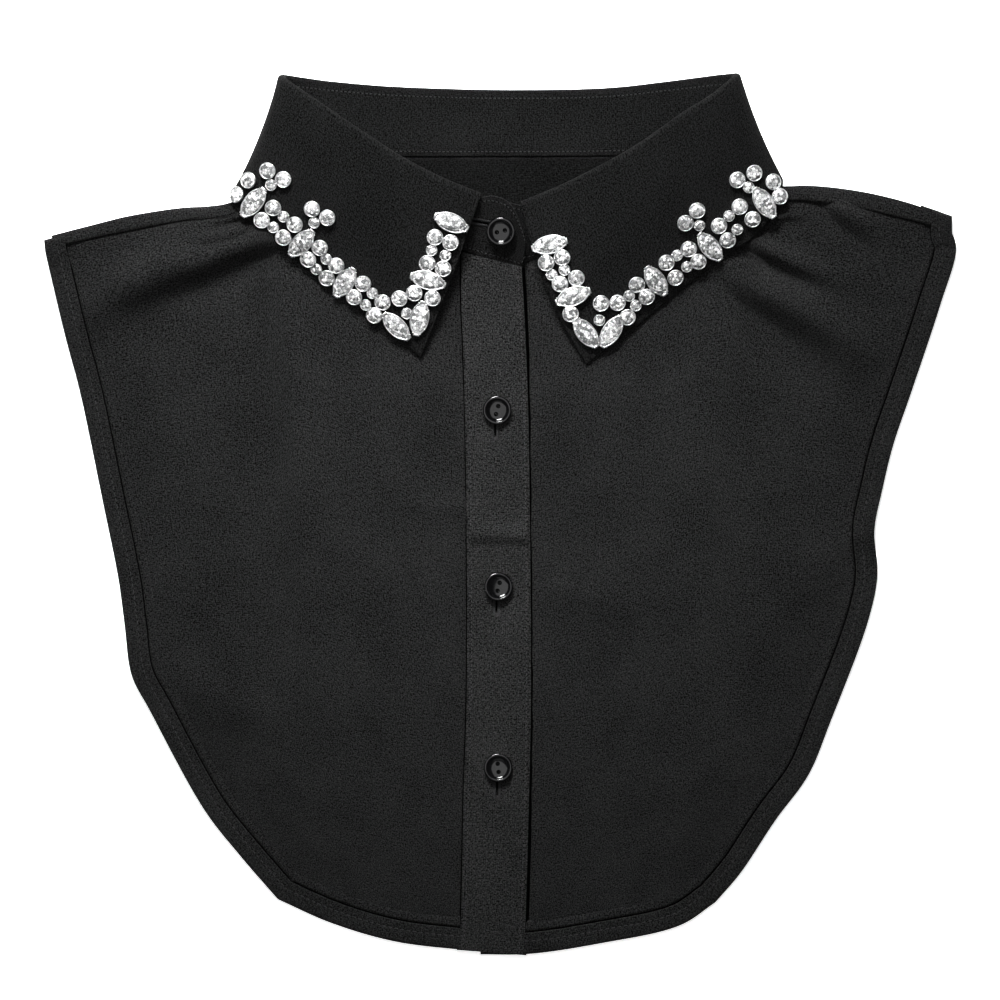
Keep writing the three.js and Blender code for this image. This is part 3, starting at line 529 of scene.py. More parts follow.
# Needle holes and other pits: painted shade, a near-black stand-in for the cloth seen down a pit, where it
# gets almost no light. It also lines the buttonhole slits, the thread down the button holes, the hem's
# crease and the gaps at the placket's edges.
def paintedPitShade():
    constants = {"Specular IOR Level": 0.0, "Roughness": 0.95}
    material, tree, shader = newMaterial("crepe, painted pit shade", constants)
    depth = grainOf(tree, objectPlace(tree), 900.0)
    shadeWith(tree, shader, colourRamp(tree, depth, [(0.3, "#030303"), (0.7, "#080808")]))
    return material


# Cast polyester button resin: deep glossy black with faint tumbling marks, like polished horn.
def buttonResin():
    constants = {"Specular IOR Level": 0.38, "IOR": 1.54, "Coat Weight": 0.35, "Coat Roughness": 0.06}
    material, tree, shader = newMaterial("cast polyester resin", constants)
    marks = grainOf(tree, objectPlace(tree), 420.0, 3.0)
    colour = colourRamp(tree, marks, [(0.3, "#060607"), (0.75, "#101012")])
    shadeWith(tree, shader, colour, ranged(tree, marks, 0.07, 0.2), (marks, 0.15, 0.02))
    return material


# Foiled lead-free crystal: the white and grey facets, with darker lines between them, that the silvered
# back shows through the cut top are painted reflections in the base colour.
def foiledCrystal():
    constants = {"Metallic": 0.12, "Coat Weight": 0.6, "Coat Roughness": 0.05, "Coat IOR": 1.5}
    material, tree, shader = newMaterial("foiled crystal", constants)
    cells = {"Vector": objectPlace(tree), "Scale": 1 / (1.15 * mm), "Randomness": 1.0}
    colours = addNode(tree, "ShaderNodeTexVoronoi", inputs=cells).outputs["Color"]
    reflectionCell = addNode(tree, "ShaderNodeSeparateColor", inputs={"Color": colours}).outputs["Red"]
    edges = addNode(tree, "ShaderNodeTexVoronoi", {"feature": "DISTANCE_TO_EDGE"}, cells)
    facets = edges.outputs["Distance"]
    paintedFacetEdges = ranged(tree, facets, -0.42, 0.0, 0.0, 0.12)
    shade = computed(tree, "ADD", reflectionCell, paintedFacetEdges, clamp=True)
    tones = [(0.0, "#626363"), (0.25, "#979898"), (0.55, "#c3c3c3"), (0.85, "#f4f4f4")]
    colour = colourRamp(tree, shade, tones)
    shadeWith(tree, shader, colour, ranged(tree, reflectionCell, 0.28, 0.1), (facets, 0.6, 0.3))
    return material


# Silver-plated brass: pressed cups with a bright rim and slightly duller, tarnished hollows.
def silverPlate():
    material, tree, shader = newMaterial("silver-plated brass", {"Metallic": 1.0})
    tarnish = grainOf(tree, objectPlace(tree), 600.0, 3.0)
    colour = colourRamp(tree, tarnish, [(0.3, "#c4c5c6"), (0.65, "#f2f2f2")])
    shadeWith(tree, shader, colour, ranged(tree, tarnish, 0.55, 0.36))
    return material


bibCloth = crepeCloth("black crepe", crepe["bib"])
neckShadeCloth = crepeCloth("black crepe, painted neck shade", crepe["back"])
hemCloth = crepeCloth("black crepe, hemmed", crepe["hem"])
bandCloth = crepeCloth("black crepe, folded double", crepe["band"])
# the collar's crepe is interfaced, and drawn darker as painted shade
collarShadeCloth = crepeCloth("black crepe, interfaced, painted shade", crepe["collar"])
thread = sewingThread()
holeShade = paintedPitShade()
resin = buttonResin()
crystal = foiledCrystal()
silver = silverPlate()

# Collar: stand and leaf along the same stations
collar = {
    "steps": 14,
    "standColumns": 16,
    "fallColumns": 26,
    "rollColumns": 10,
    "stand": {"thickness": 1.2, "round": 0.3},
    "leaf": {"thickness": 1.0, "round": 0.3},
    "sway": 0.22,  # how far the leaf waves from a true sweep
}
rows = refine(collarRows, collar["steps"])
foldLine, seamLine, edgeLine = rows[:, 0:3], rows[:, 3:6], rows[:, 6:9]
slope = unit(foldLine - seamLine)
fallAngle = np.radians(rows[:, 9])
outward = np.stack([np.cos(fallAngle), np.zeros(len(rows)), np.sin(fallAngle)], axis=1)
outward = unit(outward - slope * (outward * slope).sum(1, keepdims=True))
rollRadius = rows[:, 10:11]
standTop = foldLine - slope * (rollRadius + 0.5)


def collarLeafPoints():
    centre = standTop + slope * 0.5 + outward * rollRadius
    columns = [standTop - slope * 1.0, standTop]
    for angle in np.linspace(0, math.pi, collar["rollColumns"]):
        columns.append(centre - rollRadius * (outward * math.cos(angle) - slope * math.sin(angle)))
    start = columns[-1]
    pull = (start + edgeLine) / 2 + outward * 2 * rows[:, 11:12] + np.array([2.0, 0, 0]) * rows[:, 12:13]
    for t in np.arange(1, collar["fallColumns"] + 1) / collar["fallColumns"]:
        columns.append(start * (1 - t) ** 2 + pull * 2 * t * (1 - t) + edgeLine * t**2)
    return np.stack(columns, axis=1)


leafPoints = collarLeafPoints()
stir = noiseAt(leafPoints, 19.0, 3.7)
fallShare = np.clip((np.arange(leafPoints.shape[1]) - collar["rollColumns"]) / collar["fallColumns"], 0, 1)
lying = smoothStep(leafPoints[..., 1], 128, 150) * smoothStep(-leafPoints[..., 2], -6, -3)
waves = stir * collar["sway"] * fallShare[None] * (1 - lying)
leafPoints = leafPoints + outward[:, None] * waves[..., None]
collarLeaf = clothSheet("collarLeaf", [leafPoints], collar["leaf"], collarShadeCloth)
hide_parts("collar_leaf")


def standPoints():
    endRows = [refine(tabRows, 8)[:-1], refine(underlapRows, 8)]
    top = np.vstack([endRows[0][:, :3], standTop, endRows[1][:, :3]])
    seam = np.vstack([endRows[0][:, 3:], seamLine, endRows[1][:, 3:]])
    shares = np.linspace(0, 1, collar["standColumns"])[None, :, None]
    return seam[:, None] * (1 - shares) + top[:, None] * shares


standGrid = standPoints()
collarStand = clothSheet("collarStand", [standGrid], collar["stand"], collarShadeCloth)
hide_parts("collar_stand")
print("collar stand and leaf made")

# Fronts: a sheet each, with a hem band of its own along the armhole and the bottom
front = {
    "columns": 140,
    "rows": 220,
    "length": 290,
    "hemThickness": 0.3,
    "stitchFromEdge": 5.2,
    "crease": (8.5, 9.2),  # where the hem band's sharp crease starts and ends, from the edge; the faces between get painted shade
    "corner": {"left": [-0.2, 3.4], "right": [0.4, 5.6]},  # from the armhole's top to the fold's end
    "overSeam": 1.5,  # how far the hem rides up where it crosses the end of the shoulder seam
    "cornerDip": 1.2,
    "underSeam": 1.4,
    "tuck": 1.1,  # how far the single cloth sinks at the shoulder seam, and then inside the hem
    "underHem": 1.2,
    "lowest": 0.6,
}
# The hem band across: distance from the edge, height above the middle of the single cloth. It
# ends in a sharp crease and then lies flush on the cloth.
hemProfile = [
    [0.0, -0.35], [0.0, 0.0], [0.06, 0.4], [0.22, 0.72], [0.5, 0.92], [1.0, 1.03], [1.8, 1.06],
    [3.0, 1.06], [4.2, 1.04], [4.7, 0.98], [5.0, 0.84], [5.2, 0.78], [5.4, 0.84], [5.7, 0.98],
    [6.2, 1.04], [7.4, 1.08], [8.1, 1.08], [8.35, 1.0], [8.5, 0.5], [8.6, -0.4], [9.0, -0.5],
    [9.2, 0.0], [9.5, 0.45], [9.9, 0.56], [11.0, 0.58], [12.6, 0.56], [13.4, 0.0],
]


def inwardOf(rows):
    return unit(rows[:, 2:4] - rows[:, 0:2])


def foldHeight(points):
    total = np.zeros(points.shape[:-1])
    for knots, widths, crests in folds:
        path = spaced(smoothLine(knots), 60)
        apart = squaredTo(points, path)
        share = apart.argmin(1) / (len(path) - 1)
        width = np.interp(share, np.linspace(0, 1, len(widths)), widths)
        height = np.interp(share, np.linspace(0, 1, len(crests)), crests)
        total += (height * np.exp(-apart.min(1) / width**2)).reshape(total.shape)
    return total


def backHeight(points):
    x, y = points[..., 0], points[..., 1]
    nearNeck = smoothStep(y, 110, 125) * (1 - smoothStep(np.abs(x - 3), 112, 124))
    return cloth["backHeight"] + cloth["underLeaf"] * nearNeck


def frontHeight(points, seam):
    # the height of the cloth: flat, up to the seams by the neck, with folds and ripples
    apart = squaredTo(points, seam)
    weight = 1 / (apart + 2.0) ** 3
    seamZ = (weight * seam[None, :, 2]).sum(1) / weight.sum(1)
    near = np.sqrt(apart.min(1))
    raised = (seamZ - cloth["frontHeight"]) * np.exp(-((near / cloth["neckReach"]) ** 2))
    swell = cloth["swell"] * noiseAt(points, 58.0, 4.2)
    ripple = cloth["ripple"] * (0.7 * noiseAt(points, 27.0, 1.3) + 0.3 * noiseAt(points, 11.0, 8.1))
    height = foldHeight(points) + swell + ripple + raised.reshape(swell.shape)
    low = backHeight(points) + cloth["clear"] - cloth["frontHeight"]
    settled = low + (height - low + np.sqrt((height - low) ** 2 + 0.16)) / 2
    return cloth["frontHeight"] + settled


def frontPanel(topLine, sideLine, bottomLine):
    # the front as a flat grid between its outlines, with finer rows near the shoulder
    u, v = np.linspace(0, 1, front["columns"]), np.linspace(0, 1, front["rows"]) ** 1.35
    top, low = spaced(topLine, u), spaced(bottomLine, u)
    right = top[-1] * (1 - v[:, None]) + low[-1] * v[:, None]
    return patch(top, low, spaced(sideLine, v), right, u, v), v


def frontGrids(shoulder, side, bottom, neck, lap):
    hand = "left" if side[0][0] < 0 else "right"
    shoulder = smoothLine(shoulder)[::-1]
    sideLine, bottomLine = smoothLine(side), smoothLine(bottom)
    seamXY = shoulder[:, 2:4]
    seam = np.vstack([heights(seamXY, shoulder[:, 4]), neck, lap])
    tucked = seamXY - inwardOf(shoulder) * 1.6
    topLine = np.vstack([side[:1], tucked, neck[:, :2] + np.array([0, 0.6]), np.array(lap)[:, :2]])
    topLine = topLine[np.concatenate([[True], np.linalg.norm(np.diff(topLine, axis=0), axis=1) > 0.05])]
    flat, v = frontPanel(topLine, sideLine, bottomLine)

    outline = np.vstack([np.array(side[:1]) + front["corner"][hand], sideLine[2:], bottomLine[1:]])
    run = lengths(outline)[-1]
    steps = np.concatenate([[0, 0.15, 0.4, 0.8, 1.4, 2.2], np.arange(3.0, run, 0.8), [run]])
    hemRun = spaced(outline, steps / run)
    tangent = unit(np.gradient(hemRun, axis=0))
    inner = np.stack([-tangent[:, 1], tangent[:, 0]], axis=1) * (1 if hand == "left" else -1)
    foldWay = unit(shoulder[14, 0:2] - shoulder[0, 0:2])
    blendIn = np.exp(-((steps / 5.0) ** 2))[:, None]
    inner = unit(inner * (1 - blendIn) + foldWay * blendIn)
    reach, profile = np.array(hemProfile).T
    band = hemRun[:, None] + inner[:, None] * reach[None, :, None]
    pucker = cloth["pucker"] * noiseAt(band, 4.5, 5.5) * smoothStep(reach, 0.5, 3)

    # by the shoulder the hem climbs over the seam's end, and its inner side stays down on the cloth
    over = front["overSeam"] * smoothStep(steps, 0, 1.2) * (1 - smoothStep(steps, 5, 13))
    over = over - front["cornerDip"] * (1 - smoothStep(steps, 0, 0.6))
    under = front["underSeam"] * (1 - smoothStep(steps, 8, 14))
    inside = smoothStep(reach, 8.5, 9.0)[None, :]
    overSeam = over[:, None] * (1 - inside) - under[:, None] * inside
    z = frontHeight(band, seam) + profile - front["hemThickness"] / 2
    hem = heights(band, z + pucker + overSeam)

    # the single cloth is tucked in at the shoulder seam and sinks inside the hem
    tuck = front["tuck"] * (1 - smoothStep(v * front["length"], 2.0, 4.4))[:, None]
    nearest = [((row[:, None] - hemRun[None]) ** 2).sum(-1).min(1) for row in flat]
    sunk = front["underHem"] * (1 - smoothStep(np.sqrt(np.stack(nearest)), 9.4, 12.6))
    return heights(flat, np.maximum(frontHeight(flat, seam) - tuck - sunk, front["lowest"])), hem


leftNeck = seamLine[collar["steps"] : 5 * collar["steps"] + 1][::-1]
rightNeck = seamLine[19 * collar["steps"] : 24 * collar["steps"] + 1]
leftPanel, leftHem = frontGrids(leftShoulder, leftSide, leftBottom, leftNeck, leftLap)
rightPanel, rightHem = frontGrids(rightShoulder, rightSide, rightBottom, rightNeck, rightLap)

# Where the right front runs in under the placket: a low step with a soft ridge beside it
underStep = {
    "top": (14.4, 100),
    "bottom": (15.5, -180),
    "slope": (-2.4, -1.4),
    "height": 0.3,
    "width": 0.8,
    "depth": 1.7,
    "leftDepth": 0.9,
    "lowest": 1.5,
}
(topX, topY), (bottomX, bottomY) = underStep["top"], underStep["bottom"]
stepX = topX + (bottomX - topX) * (topY - rightPanel[..., 1]) / (topY - bottomY)
sink = np.clip(rightPanel[..., 2] - underStep["lowest"], 0, underStep["depth"])
past = rightPanel[..., 0] - stepX
rightPanel[..., 2] -= sink * (1 - smoothStep(past, *underStep["slope"]))
rightPanel[..., 2] += underStep["height"] * np.exp(-(((past + 0.9) / underStep["width"]) ** 2))

# the left front dips where it runs in under the placket
edgeY = [-178, -117, -76, 6, 50, 88]
edgeX = np.interp(leftPanel[..., 1], edgeY, [-16.8, -14.6, -13.3, -13.4, -14.1, -15.5])
sink = np.clip(leftPanel[..., 2] - underStep["lowest"], 0, underStep["leftDepth"])
leftPanel[..., 2] -= sink * smoothStep(leftPanel[..., 0] - edgeX, -1.5, -0.3)

hemSettings = {"thickness": front["hemThickness"]}
frontLeft = clothSheet("frontLeft", [leftPanel], cloth, bibCloth)
frontRight = clothSheet("frontRight", [rightPanel], cloth, bibCloth)
hemLeft = clothSheet("hemLeft", [leftHem], hemSettings, hemCloth)
hemRight = clothSheet("hemRight", [rightHem], hemSettings, hemCloth)
hemReach = [place for place, _ in hemProfile]
# the hem's crease gets the near-black material: painted shade in the crease
for piece, grid in ((hemLeft, leftHem), (hemRight, rightHem)):
    shadeStrip(piece, grid, *[hemReach.index(place) for place in front["crease"]], holeShade)
for piece, node in ((frontLeft, "front_left"), (frontRight, "front_right")):
    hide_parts(node)
print("fronts and hems made")

# Back panel: flat on the floor, folded over both shoulders to the seams
back = {
    "rows": 120,
    "inset": 2.5,
    "shoulderColumns": 60,
    "neckColumns": 46,
    "rollRows": 14,
    "paintedNeckShade": (0.085, 0.1, 0.16),  # in metres: half its width, its lowest and its highest y
}


def insetOutline(points):
    points = np.array(points, float)
    return points - np.stack(
        [np.sign(points[:, 0]) * back["inset"], -back["inset"] * (points[:, 1] < -150)], axis=1
    )


def shoulderFold(rows):
    rows = spaced(smoothLine(rows), back["shoulderColumns"])
    fold, seam = rows[:, 0:2], rows[:, 2:4]
    inward = inwardOf(rows)
    reach = np.linalg.norm(seam - fold, axis=1)[:, None]
    low = backHeight(fold)
    turns = []
    for angle in np.linspace(-math.pi / 2, math.pi / 2, back["rollRows"]):
        flat = fold + inward * reach * (1 - math.cos(angle))
        turns.append(heights(flat, low + (rows[:, 4] + 1.0 - low) * (1 + math.sin(angle)) / 2))
    turns.append(heights(fold + inward * (reach + 0.3), rows[:, 4] + 0.7))
    return np.stack(turns)


leftFold, rightFold = shoulderFold(leftShoulder), shoulderFold(rightShoulder)


def backPoints():
    part = slice(9 * collar["steps"], 15 * collar["steps"] + 1)
    neck = spaced(seamLine[part][:, :2] + np.array([0, -0.6]), back["neckColumns"])
    topLine = np.vstack([leftFold[0, ::-1, :2], neck, rightFold[0, :, :2]])
    u = lengths(topLine)
    u = u / u[-1]
    v = np.linspace(0, 1, back["rows"]) ** 1.15
    left = spaced(smoothLine([topLine[0], *insetOutline(leftSide)[1:]]), v)
    right = spaced(smoothLine([topLine[-1], *insetOutline(rightSide)[1:]]), v)
    bottom = smoothLine([*insetOutline(leftBottom), *insetOutline(rightBottom)[::-1]])
    flat = patch(topLine, spaced(bottom, u), left, right, u, v)
    return heights(flat, backHeight(flat))


backGrid = backPoints()
backPanel = clothSheet("backPanel", [backGrid, leftFold, rightFold], cloth, bibCloth)
# inside the neck the cloth gets a darker copy of the crepe: painted shade
backPanel.data.materials.append(neckShadeCloth)
halfWidth, bottom, top = back["paintedNeckShade"]
for polygon in backPanel.data.polygons:
    polygon.material_index = int(abs(polygon.center.x) < halfWidth and bottom < polygon.center.y < top)
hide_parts("back_panel")
print("back panel made")

# Placket: a folded band down the front, stitched along both edges
placket = {
    "rows": 230,
    "width": 26.0,
    "thickness": 1.2,
    "height": 3.6,
    "rise": 2.8,  # towards the collar
    "stitchInset": 1.5,
    "stitchColumns": (5, 19),
    "stitchDent": 0.14,
    "edgeDrop": 0.3,
    "turnedUnder": 1.3,
    "round": 0.4,
    "crease": {"y": -12.4, "depth": 0.5, "width": 1.4, "bend": 0.006},
    "ridge": {"y": -8.2, "height": 1.5, "width": 3.6},
}
# its left and right edges: y of both, then x of both
placketLine = [
    [107.6, 101.6, -15.4, 8.6],
    [88.0, 88.0, -15.5, 9.4],
    [70.0, 70.0, -14.8, 10.3],
    [45.0, 45.0, -14.1, 11.2],
    [6.0, 6.0, -13.4, 11.9],
    [-76.0, -76.0, -13.3, 12.4],
    [-117.0, -117.0, -14.6, 11.6],
    [-150.0, -150.0, -15.2, 10.7],
    [-170.0, -170.0, -15.9, 10.0],
    [-178.6, -180.6, -16.8, 9.2],
]


def placketPoints():
    rows = spaced(smoothLine(placketLine), placket["rows"])
    left, right = rows[:, [2, 0]], rows[:, [3, 1]]
    width, inset, crease, ridge = (placket[name] for name in ("width", "stitchInset", "crease", "ridge"))
    reach = np.array([0, 0.3, 0.7, 1.1, inset, 1.9, 2.5, 4.0, 6.5, 9.0, 11.5])
    reach = np.concatenate([[-0.4], reach, [width / 2], width - reach[::-1], [width + 1.2]])
    share = (reach / width)[None, :, None]
    flat = left[:, None] * (1 - share) + right[:, None] * share
    fromSeam = np.maximum(104 - flat[..., 1], 0)
    z = placket["height"] + placket["rise"] * np.exp(-((fromSeam / cloth["neckReach"]) ** 2))
    fromEdge = np.minimum(reach, width - reach)
    z = z - placket["edgeDrop"] * (1 - smoothStep(fromEdge, 0, 0.9))
    z = z - placket["stitchDent"] * np.exp(-(((fromEdge - inset) / 0.35) ** 2))
    z = z - placket["turnedUnder"] * (fromEdge < 0)
    z = z + 0.12 * noiseAt(flat, 9.0, 2.2) * smoothStep(fromEdge, 0.5, 4)
    z = z + 0.10 * noiseAt(flat, 3.2, 6.2) * np.exp(-((fromEdge / 2.5) ** 2))
    # one crease across the band between the second and third buttons, with a ridge above it
    bent = flat[..., 1] - crease["y"] + crease["bend"] * flat[..., 0] ** 2
    fold = ridge["height"] * np.exp(-(((flat[..., 1] - ridge["y"]) / ridge["width"]) ** 2))
    fold = fold - crease["depth"] * np.exp(-((bent / crease["width"]) ** 2))
    return heights(flat, z + fold * smoothStep(fromEdge, 0.3, 2))


placketGrid = placketPoints()
placketBand = clothSheet("placketBand", [placketGrid], placket, bandCloth)
# the lips turned down at both edges get the near-black material: painted shade in the gaps beside the band
for first in (0, placketGrid.shape[1] - 2):
    shadeStrip(placketBand, placketGrid, first, first + 1, holeShade)
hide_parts("placket")
print("placket made")

# Stitching: lockstitch lines, as short threads half sunk in the cloth
# hole: the width of the near-black dimple painted as shade at each needle hole
hemStitch = {"length": 1.9, "gap": 0.65, "width": 0.46, "hole": 0.55}
edgeStitch = {"length": 1.15, "gap": 0.6, "width": 0.46, "hole": 0.55}


def stitching():
    strands = []
    hemColumn = hemReach.index(front["stitchFromEdge"]) / (len(hemReach) - 1)
    for hem in (leftHem, rightHem):
        line, faces = gridLine(hem, hemColumn, side="up")
        sewStitches(strands, line[8:], faces[8:], hemStitch, front["hemThickness"] / 2)
    for column in placket["stitchColumns"]:
        line, faces = gridLine(placketGrid, column / (placketGrid.shape[1] - 1), side="up")
        sewStitches(strands, line, faces, edgeStitch, placket["thickness"] / 2)
    for share in (0.07, 0.93):
        for side in (1, -1):
            line, faces = gridLine(standGrid, share, side=side)
            sewStitches(strands, line, faces, edgeStitch, collar["stand"]["thickness"] / 2)
    threadPiece("stitching", strands)


stitching()
print("stitching made")


# Buttonholes: two close rows of thread across a slit, barred at both ends
def surfaceOf(piece):
    return BVHTree.FromObject(piece, bpy.context.evaluated_depsgraph_get())


def seatOn(tree, x, y):
    place, normal, _, _ = tree.ray_cast(Vector((x, y, 100)) * mm, Vector((0, 0, -1)))
    if normal.z < 0:
        normal = -normal
    return np.array(place) / mm, normal


carriers = {"placket": placketBand, "stand": collarStand, "leaf": collarLeaf}
surfaces = {name: surfaceOf(piece) for name, piece in carriers.items()}
buttonHoles = [
    [-6.0, 119.5, -11, 12.5, "stand"],
    [-2.0, 38.0, 90, 13.5, "placket"],
    [-1.4, -34.0, 90, 13.5, "placket"],
    [-1.2, -109.0, 90, 13.5, "placket"],
]
holeStitch = {"pitch": 0.42, "width": 0.5, "reach": 1.3, "apart": 1.9, "slit": 0.9, "bar": 3.4}


def buttonholes():
    strands = []
    for x, y, turn, length, carrier in buttonHoles:
        tree = surfaces[carrier]
        along = np.array([math.cos(math.radians(turn)), math.sin(math.radians(turn))])
        aside = np.array([-along[1], along[0]])
        ends = [seatOn(tree, *(np.array([x, y]) + along * way * length / 2)) for way in (-1, 1)]
        # the slit: a flat near-black strand, painted shade
        layThread(strands, ends[0][0], ends[1][0], ends[0][1], holeStitch["slit"], 0.1, 0.25, 1)
        count = int(length / holeStitch["pitch"])
        for k in range(count + 1):
            s = (k / count - 0.5) * length
            for way in (-1, 1):
                middle = np.array([x, y]) + along * s + aside * way * holeStitch["apart"] / 2
                place, face = seatOn(tree, *middle)
                across = Vector((aside[0], aside[1], 0)) * holeStitch["reach"] / 2
                across = across - face * across.dot(face)
                layThread(strands, place - across, place + across, face, holeStitch["width"], 0.22)
        for end in (-1, 1):
            for k in range(4):
                spot = np.array([x, y]) + along * end * (length / 2 + 0.3 * k - 0.2)
                place, face = seatOn(tree, *spot)
                across = Vector((aside[0], aside[1], 0)) * holeStitch["bar"] / 2
                layThread(strands, place - across, place + across, face, holeStitch["width"], 0.16)
    threadPiece("buttonholes", strands)


buttonholes()
print("buttonholes made")

# Buttons: lathe-turned, with a raised rim, a dished middle and two holes
button = {
    "profile": [
        [0, 0], [3.8, 0.0], [4.8, 0.15], [5.5, 0.6], [5.8, 1.1], [5.9, 1.7], [5.84, 2.1],
        [5.68, 2.28], [5.4, 2.38], [4.95, 2.38], [4.7, 2.28], [4.4, 1.94], [3.9, 1.66], [3.3, 1.5],
        [2.6, 1.44], [1.2, 1.4], [0, 1.4],
    ],
    "segments": 56,
    "holeRadius": 0.9,
    "holeSpacing": 3.4,
    "seat": 0.3,
}
buttonRows = [
    # place, turn, what it sits on and how it leans
    [0.5, 116.4, 14, "stand", 0.04, 0.22],
    [-1.2, 42.8, 75, "placket", 0.02, 0.0],
    [-0.8, -29.7, 75, "placket", 0.09, 0.04],
    [-0.8, -103.9, 96, "placket", 0.03, 0.01],
]


def turnedDisc(profile, segments):
    bm = bmesh.new()
    verts = [bm.verts.new((r * mm, 0, z * mm)) for r, z in profile]
    edges = [bm.edges.new(pair) for pair in zip(verts, verts[1:])]
    bmesh.ops.spin(
        bm, geom=verts + edges, cent=(0, 0, 0), axis=(0, 0, 1), angle=math.tau, steps=segments,
        use_merge=True,
    )
    bmesh.ops.remove_doubles(bm, verts=bm.verts, dist=1e-6)
    bmesh.ops.recalc_face_normals(bm, faces=bm.faces)
    return bm


def buttonMesh():
    disc = addPiece("buttonBlank", turnedDisc(button["profile"], button["segments"]), [resin], None)
    drills = bmesh.new()
    for way in (-1, 1):
        place = Matrix.Translation((way * button["holeSpacing"] / 2 * mm, 0, mm))
        bmesh.ops.create_cone(
            drills, cap_ends=True, segments=20, radius1=button["holeRadius"] * mm,
            radius2=button["holeRadius"] * mm, depth=5 * mm, matrix=place,
        )
    drill = addPiece("drill", drills, [], None)
    cut = disc.modifiers.new("holes", "BOOLEAN")
    cut.object = drill
    cut.operation = "DIFFERENCE"
    cut.solver = "EXACT"
    ready = bpy.data.meshes.new_from_object(disc.evaluated_get(bpy.context.evaluated_depsgraph_get()))
    bpy.data.objects.remove(disc)
    bpy.data.objects.remove(drill)
    return ready


blank = buttonMesh()


def levelTurn(face, turn):
    # turns a piece upright on its face so that its own X stays at that angle seen from above
    x = Vector((math.cos(math.radians(turn)), math.sin(math.radians(turn)), 0))
    x = (x - face * x.dot(face)).normalized()
    y = face.cross(x)
    return Matrix((x, y, face)).transposed().to_4x4()


threads = []
for index, (x, y, turn, carrier, leanX, leanY) in enumerate(buttonRows):
    place, face = seatOn(surfaces[carrier], x, y)
    face = (face + Vector((leanX, leanY, 0))).normalized()
    turned = levelTurn(face, turn)
    turned.translation = Vector(place) * mm + face * (button["seat"] + 4 * math.hypot(leanX, leanY)) * mm
    mesh = blank.copy()
    mesh.transform(turned)
    for polygon in mesh.polygons:
        polygon.use_smooth = True
    name = f"button{index + 1}"
    piece = bpy.data.objects.new(name, mesh)
    bpy.context.scene.collection.objects.link(piece)
    crisp = piece.modifiers.new("crisp edges", "EDGE_SPLIT")
    crisp.split_angle = math.radians(50)
    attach(piece, "root")
    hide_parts(f"button_{index + 1}")
    # the thread down each hole gets the near-black material: painted shade in the holes
    half = button["holeSpacing"] / 2
    for strand in range(4):
        aside = (strand - 1.5) * 0.34
        for way in (-1, 1):
            ends = [turned @ Vector((way * half * mm, aside * mm, z * mm)) for z in (-0.3, 0.85)]
            layThread(threads, ends[0] / mm, ends[1] / mm, Vector((turned.col[0][:3])), 0.5, 0, 1)
# the loose end of thread below the lowest button
tail = [[-3.2, -109.6], [-2.6, -112.4], [-1.6, -114.6], [-0.8, -116.6]]
tail = [seatOn(surfaces["placket"], *spot) for spot in tail]
for (start, face), (end, _) in zip(tail, tail[1:]):
    layThread(threads, start, end + (end - start) * 0.15, face, 0.42, 0.3)
threadPiece("buttonThread", threads)
print("buttons made")

# Rhinestones: kind, x, y and turn of one stone, or of a pair side by side if a spacing follows
stones = {
    "large": {"radius": 3.45, "height": 2.9, "sides": 16},
    "small": {"radius": 2.42, "height": 2.2, "sides": 12},
    "navette": {"length": 15.4, "width": 7.9, "height": 2.9, "sides": 20},
    "seat": 0.25,
    "claw": (0.55, 0.42, 0.25),
    "clawHeight": 0.66,
    "clawLean": 28,
    # rings of the cut stone: shares of its size and height, then of its sides, and their shift
    "cut": [(0.80, 0.30, 1, 0), (0.88, 0.60, 1, 0), (0.72, 0.73, 0.5, 0.5), (0.46, 0.85, 0.5, 0)],
    # rings of the metal cup, as shares of the stone's size and height
    "cup": [
        (0.66, 0.0), (0.82, 0.05), (0.94, 0.26), (0.99, 0.52), (1.0, 0.62), (0.985, 0.68),
        (0.93, 0.71), (0.88, 0.68), (0.84, 0.45),
    ],
}
leftStones = [
    ["large", -102.4, 136.9],
    ["large", -107.2, 130.8],
    ["navette", -100.9, 128.2, 51],
    ["large", -91.7, 139.4, -28, 7.2],
    ["small", -93.6, 135.3],
    ["large", -95.2, 123.6, 47, 6.9],
    ["small", -90.7, 120.3, 45, 6.1],
    ["large", -86.2, 116.7, 48, 7.1],
    ["large", -73.6, 123.9, -30, 7.2],
    ["small", -75.9, 120.0],
    ["navette", -81.0, 111.8, 48],
    ["large", -75.9, 107.5, 45, 6.7],
    ["small", -73.0, 103.1, 45, 5.8],
    ["large", -68.7, 100.0, 53, 6.4],
    ["navette", -63.3, 95.7, 56],
    ["large", -57.6, 92.4, 57, 6.6],
    ["small", -53.4, 88.7, 60, 5.5],
    ["large", -49.5, 84.8, 58, 6.3],
    ["navette", -42.2, 77.6, -46],
    ["small", -38.0, 82.8],
    ["large", -38.0, 90.1, 20, 6.4],
    ["navette", -32.7, 80.8, 77],
    ["large", -27.6, 89.1],
    ["navette", -29.5, 96.4, -17],
    ["large", -26.6, 102.3, -19, 6.9],
    ["small", -25.2, 107.6, -21, 6.0],
    ["large", -23.5, 113.0, -19, 6.7],
    ["navette", -20.1, 120.1, -24],
]
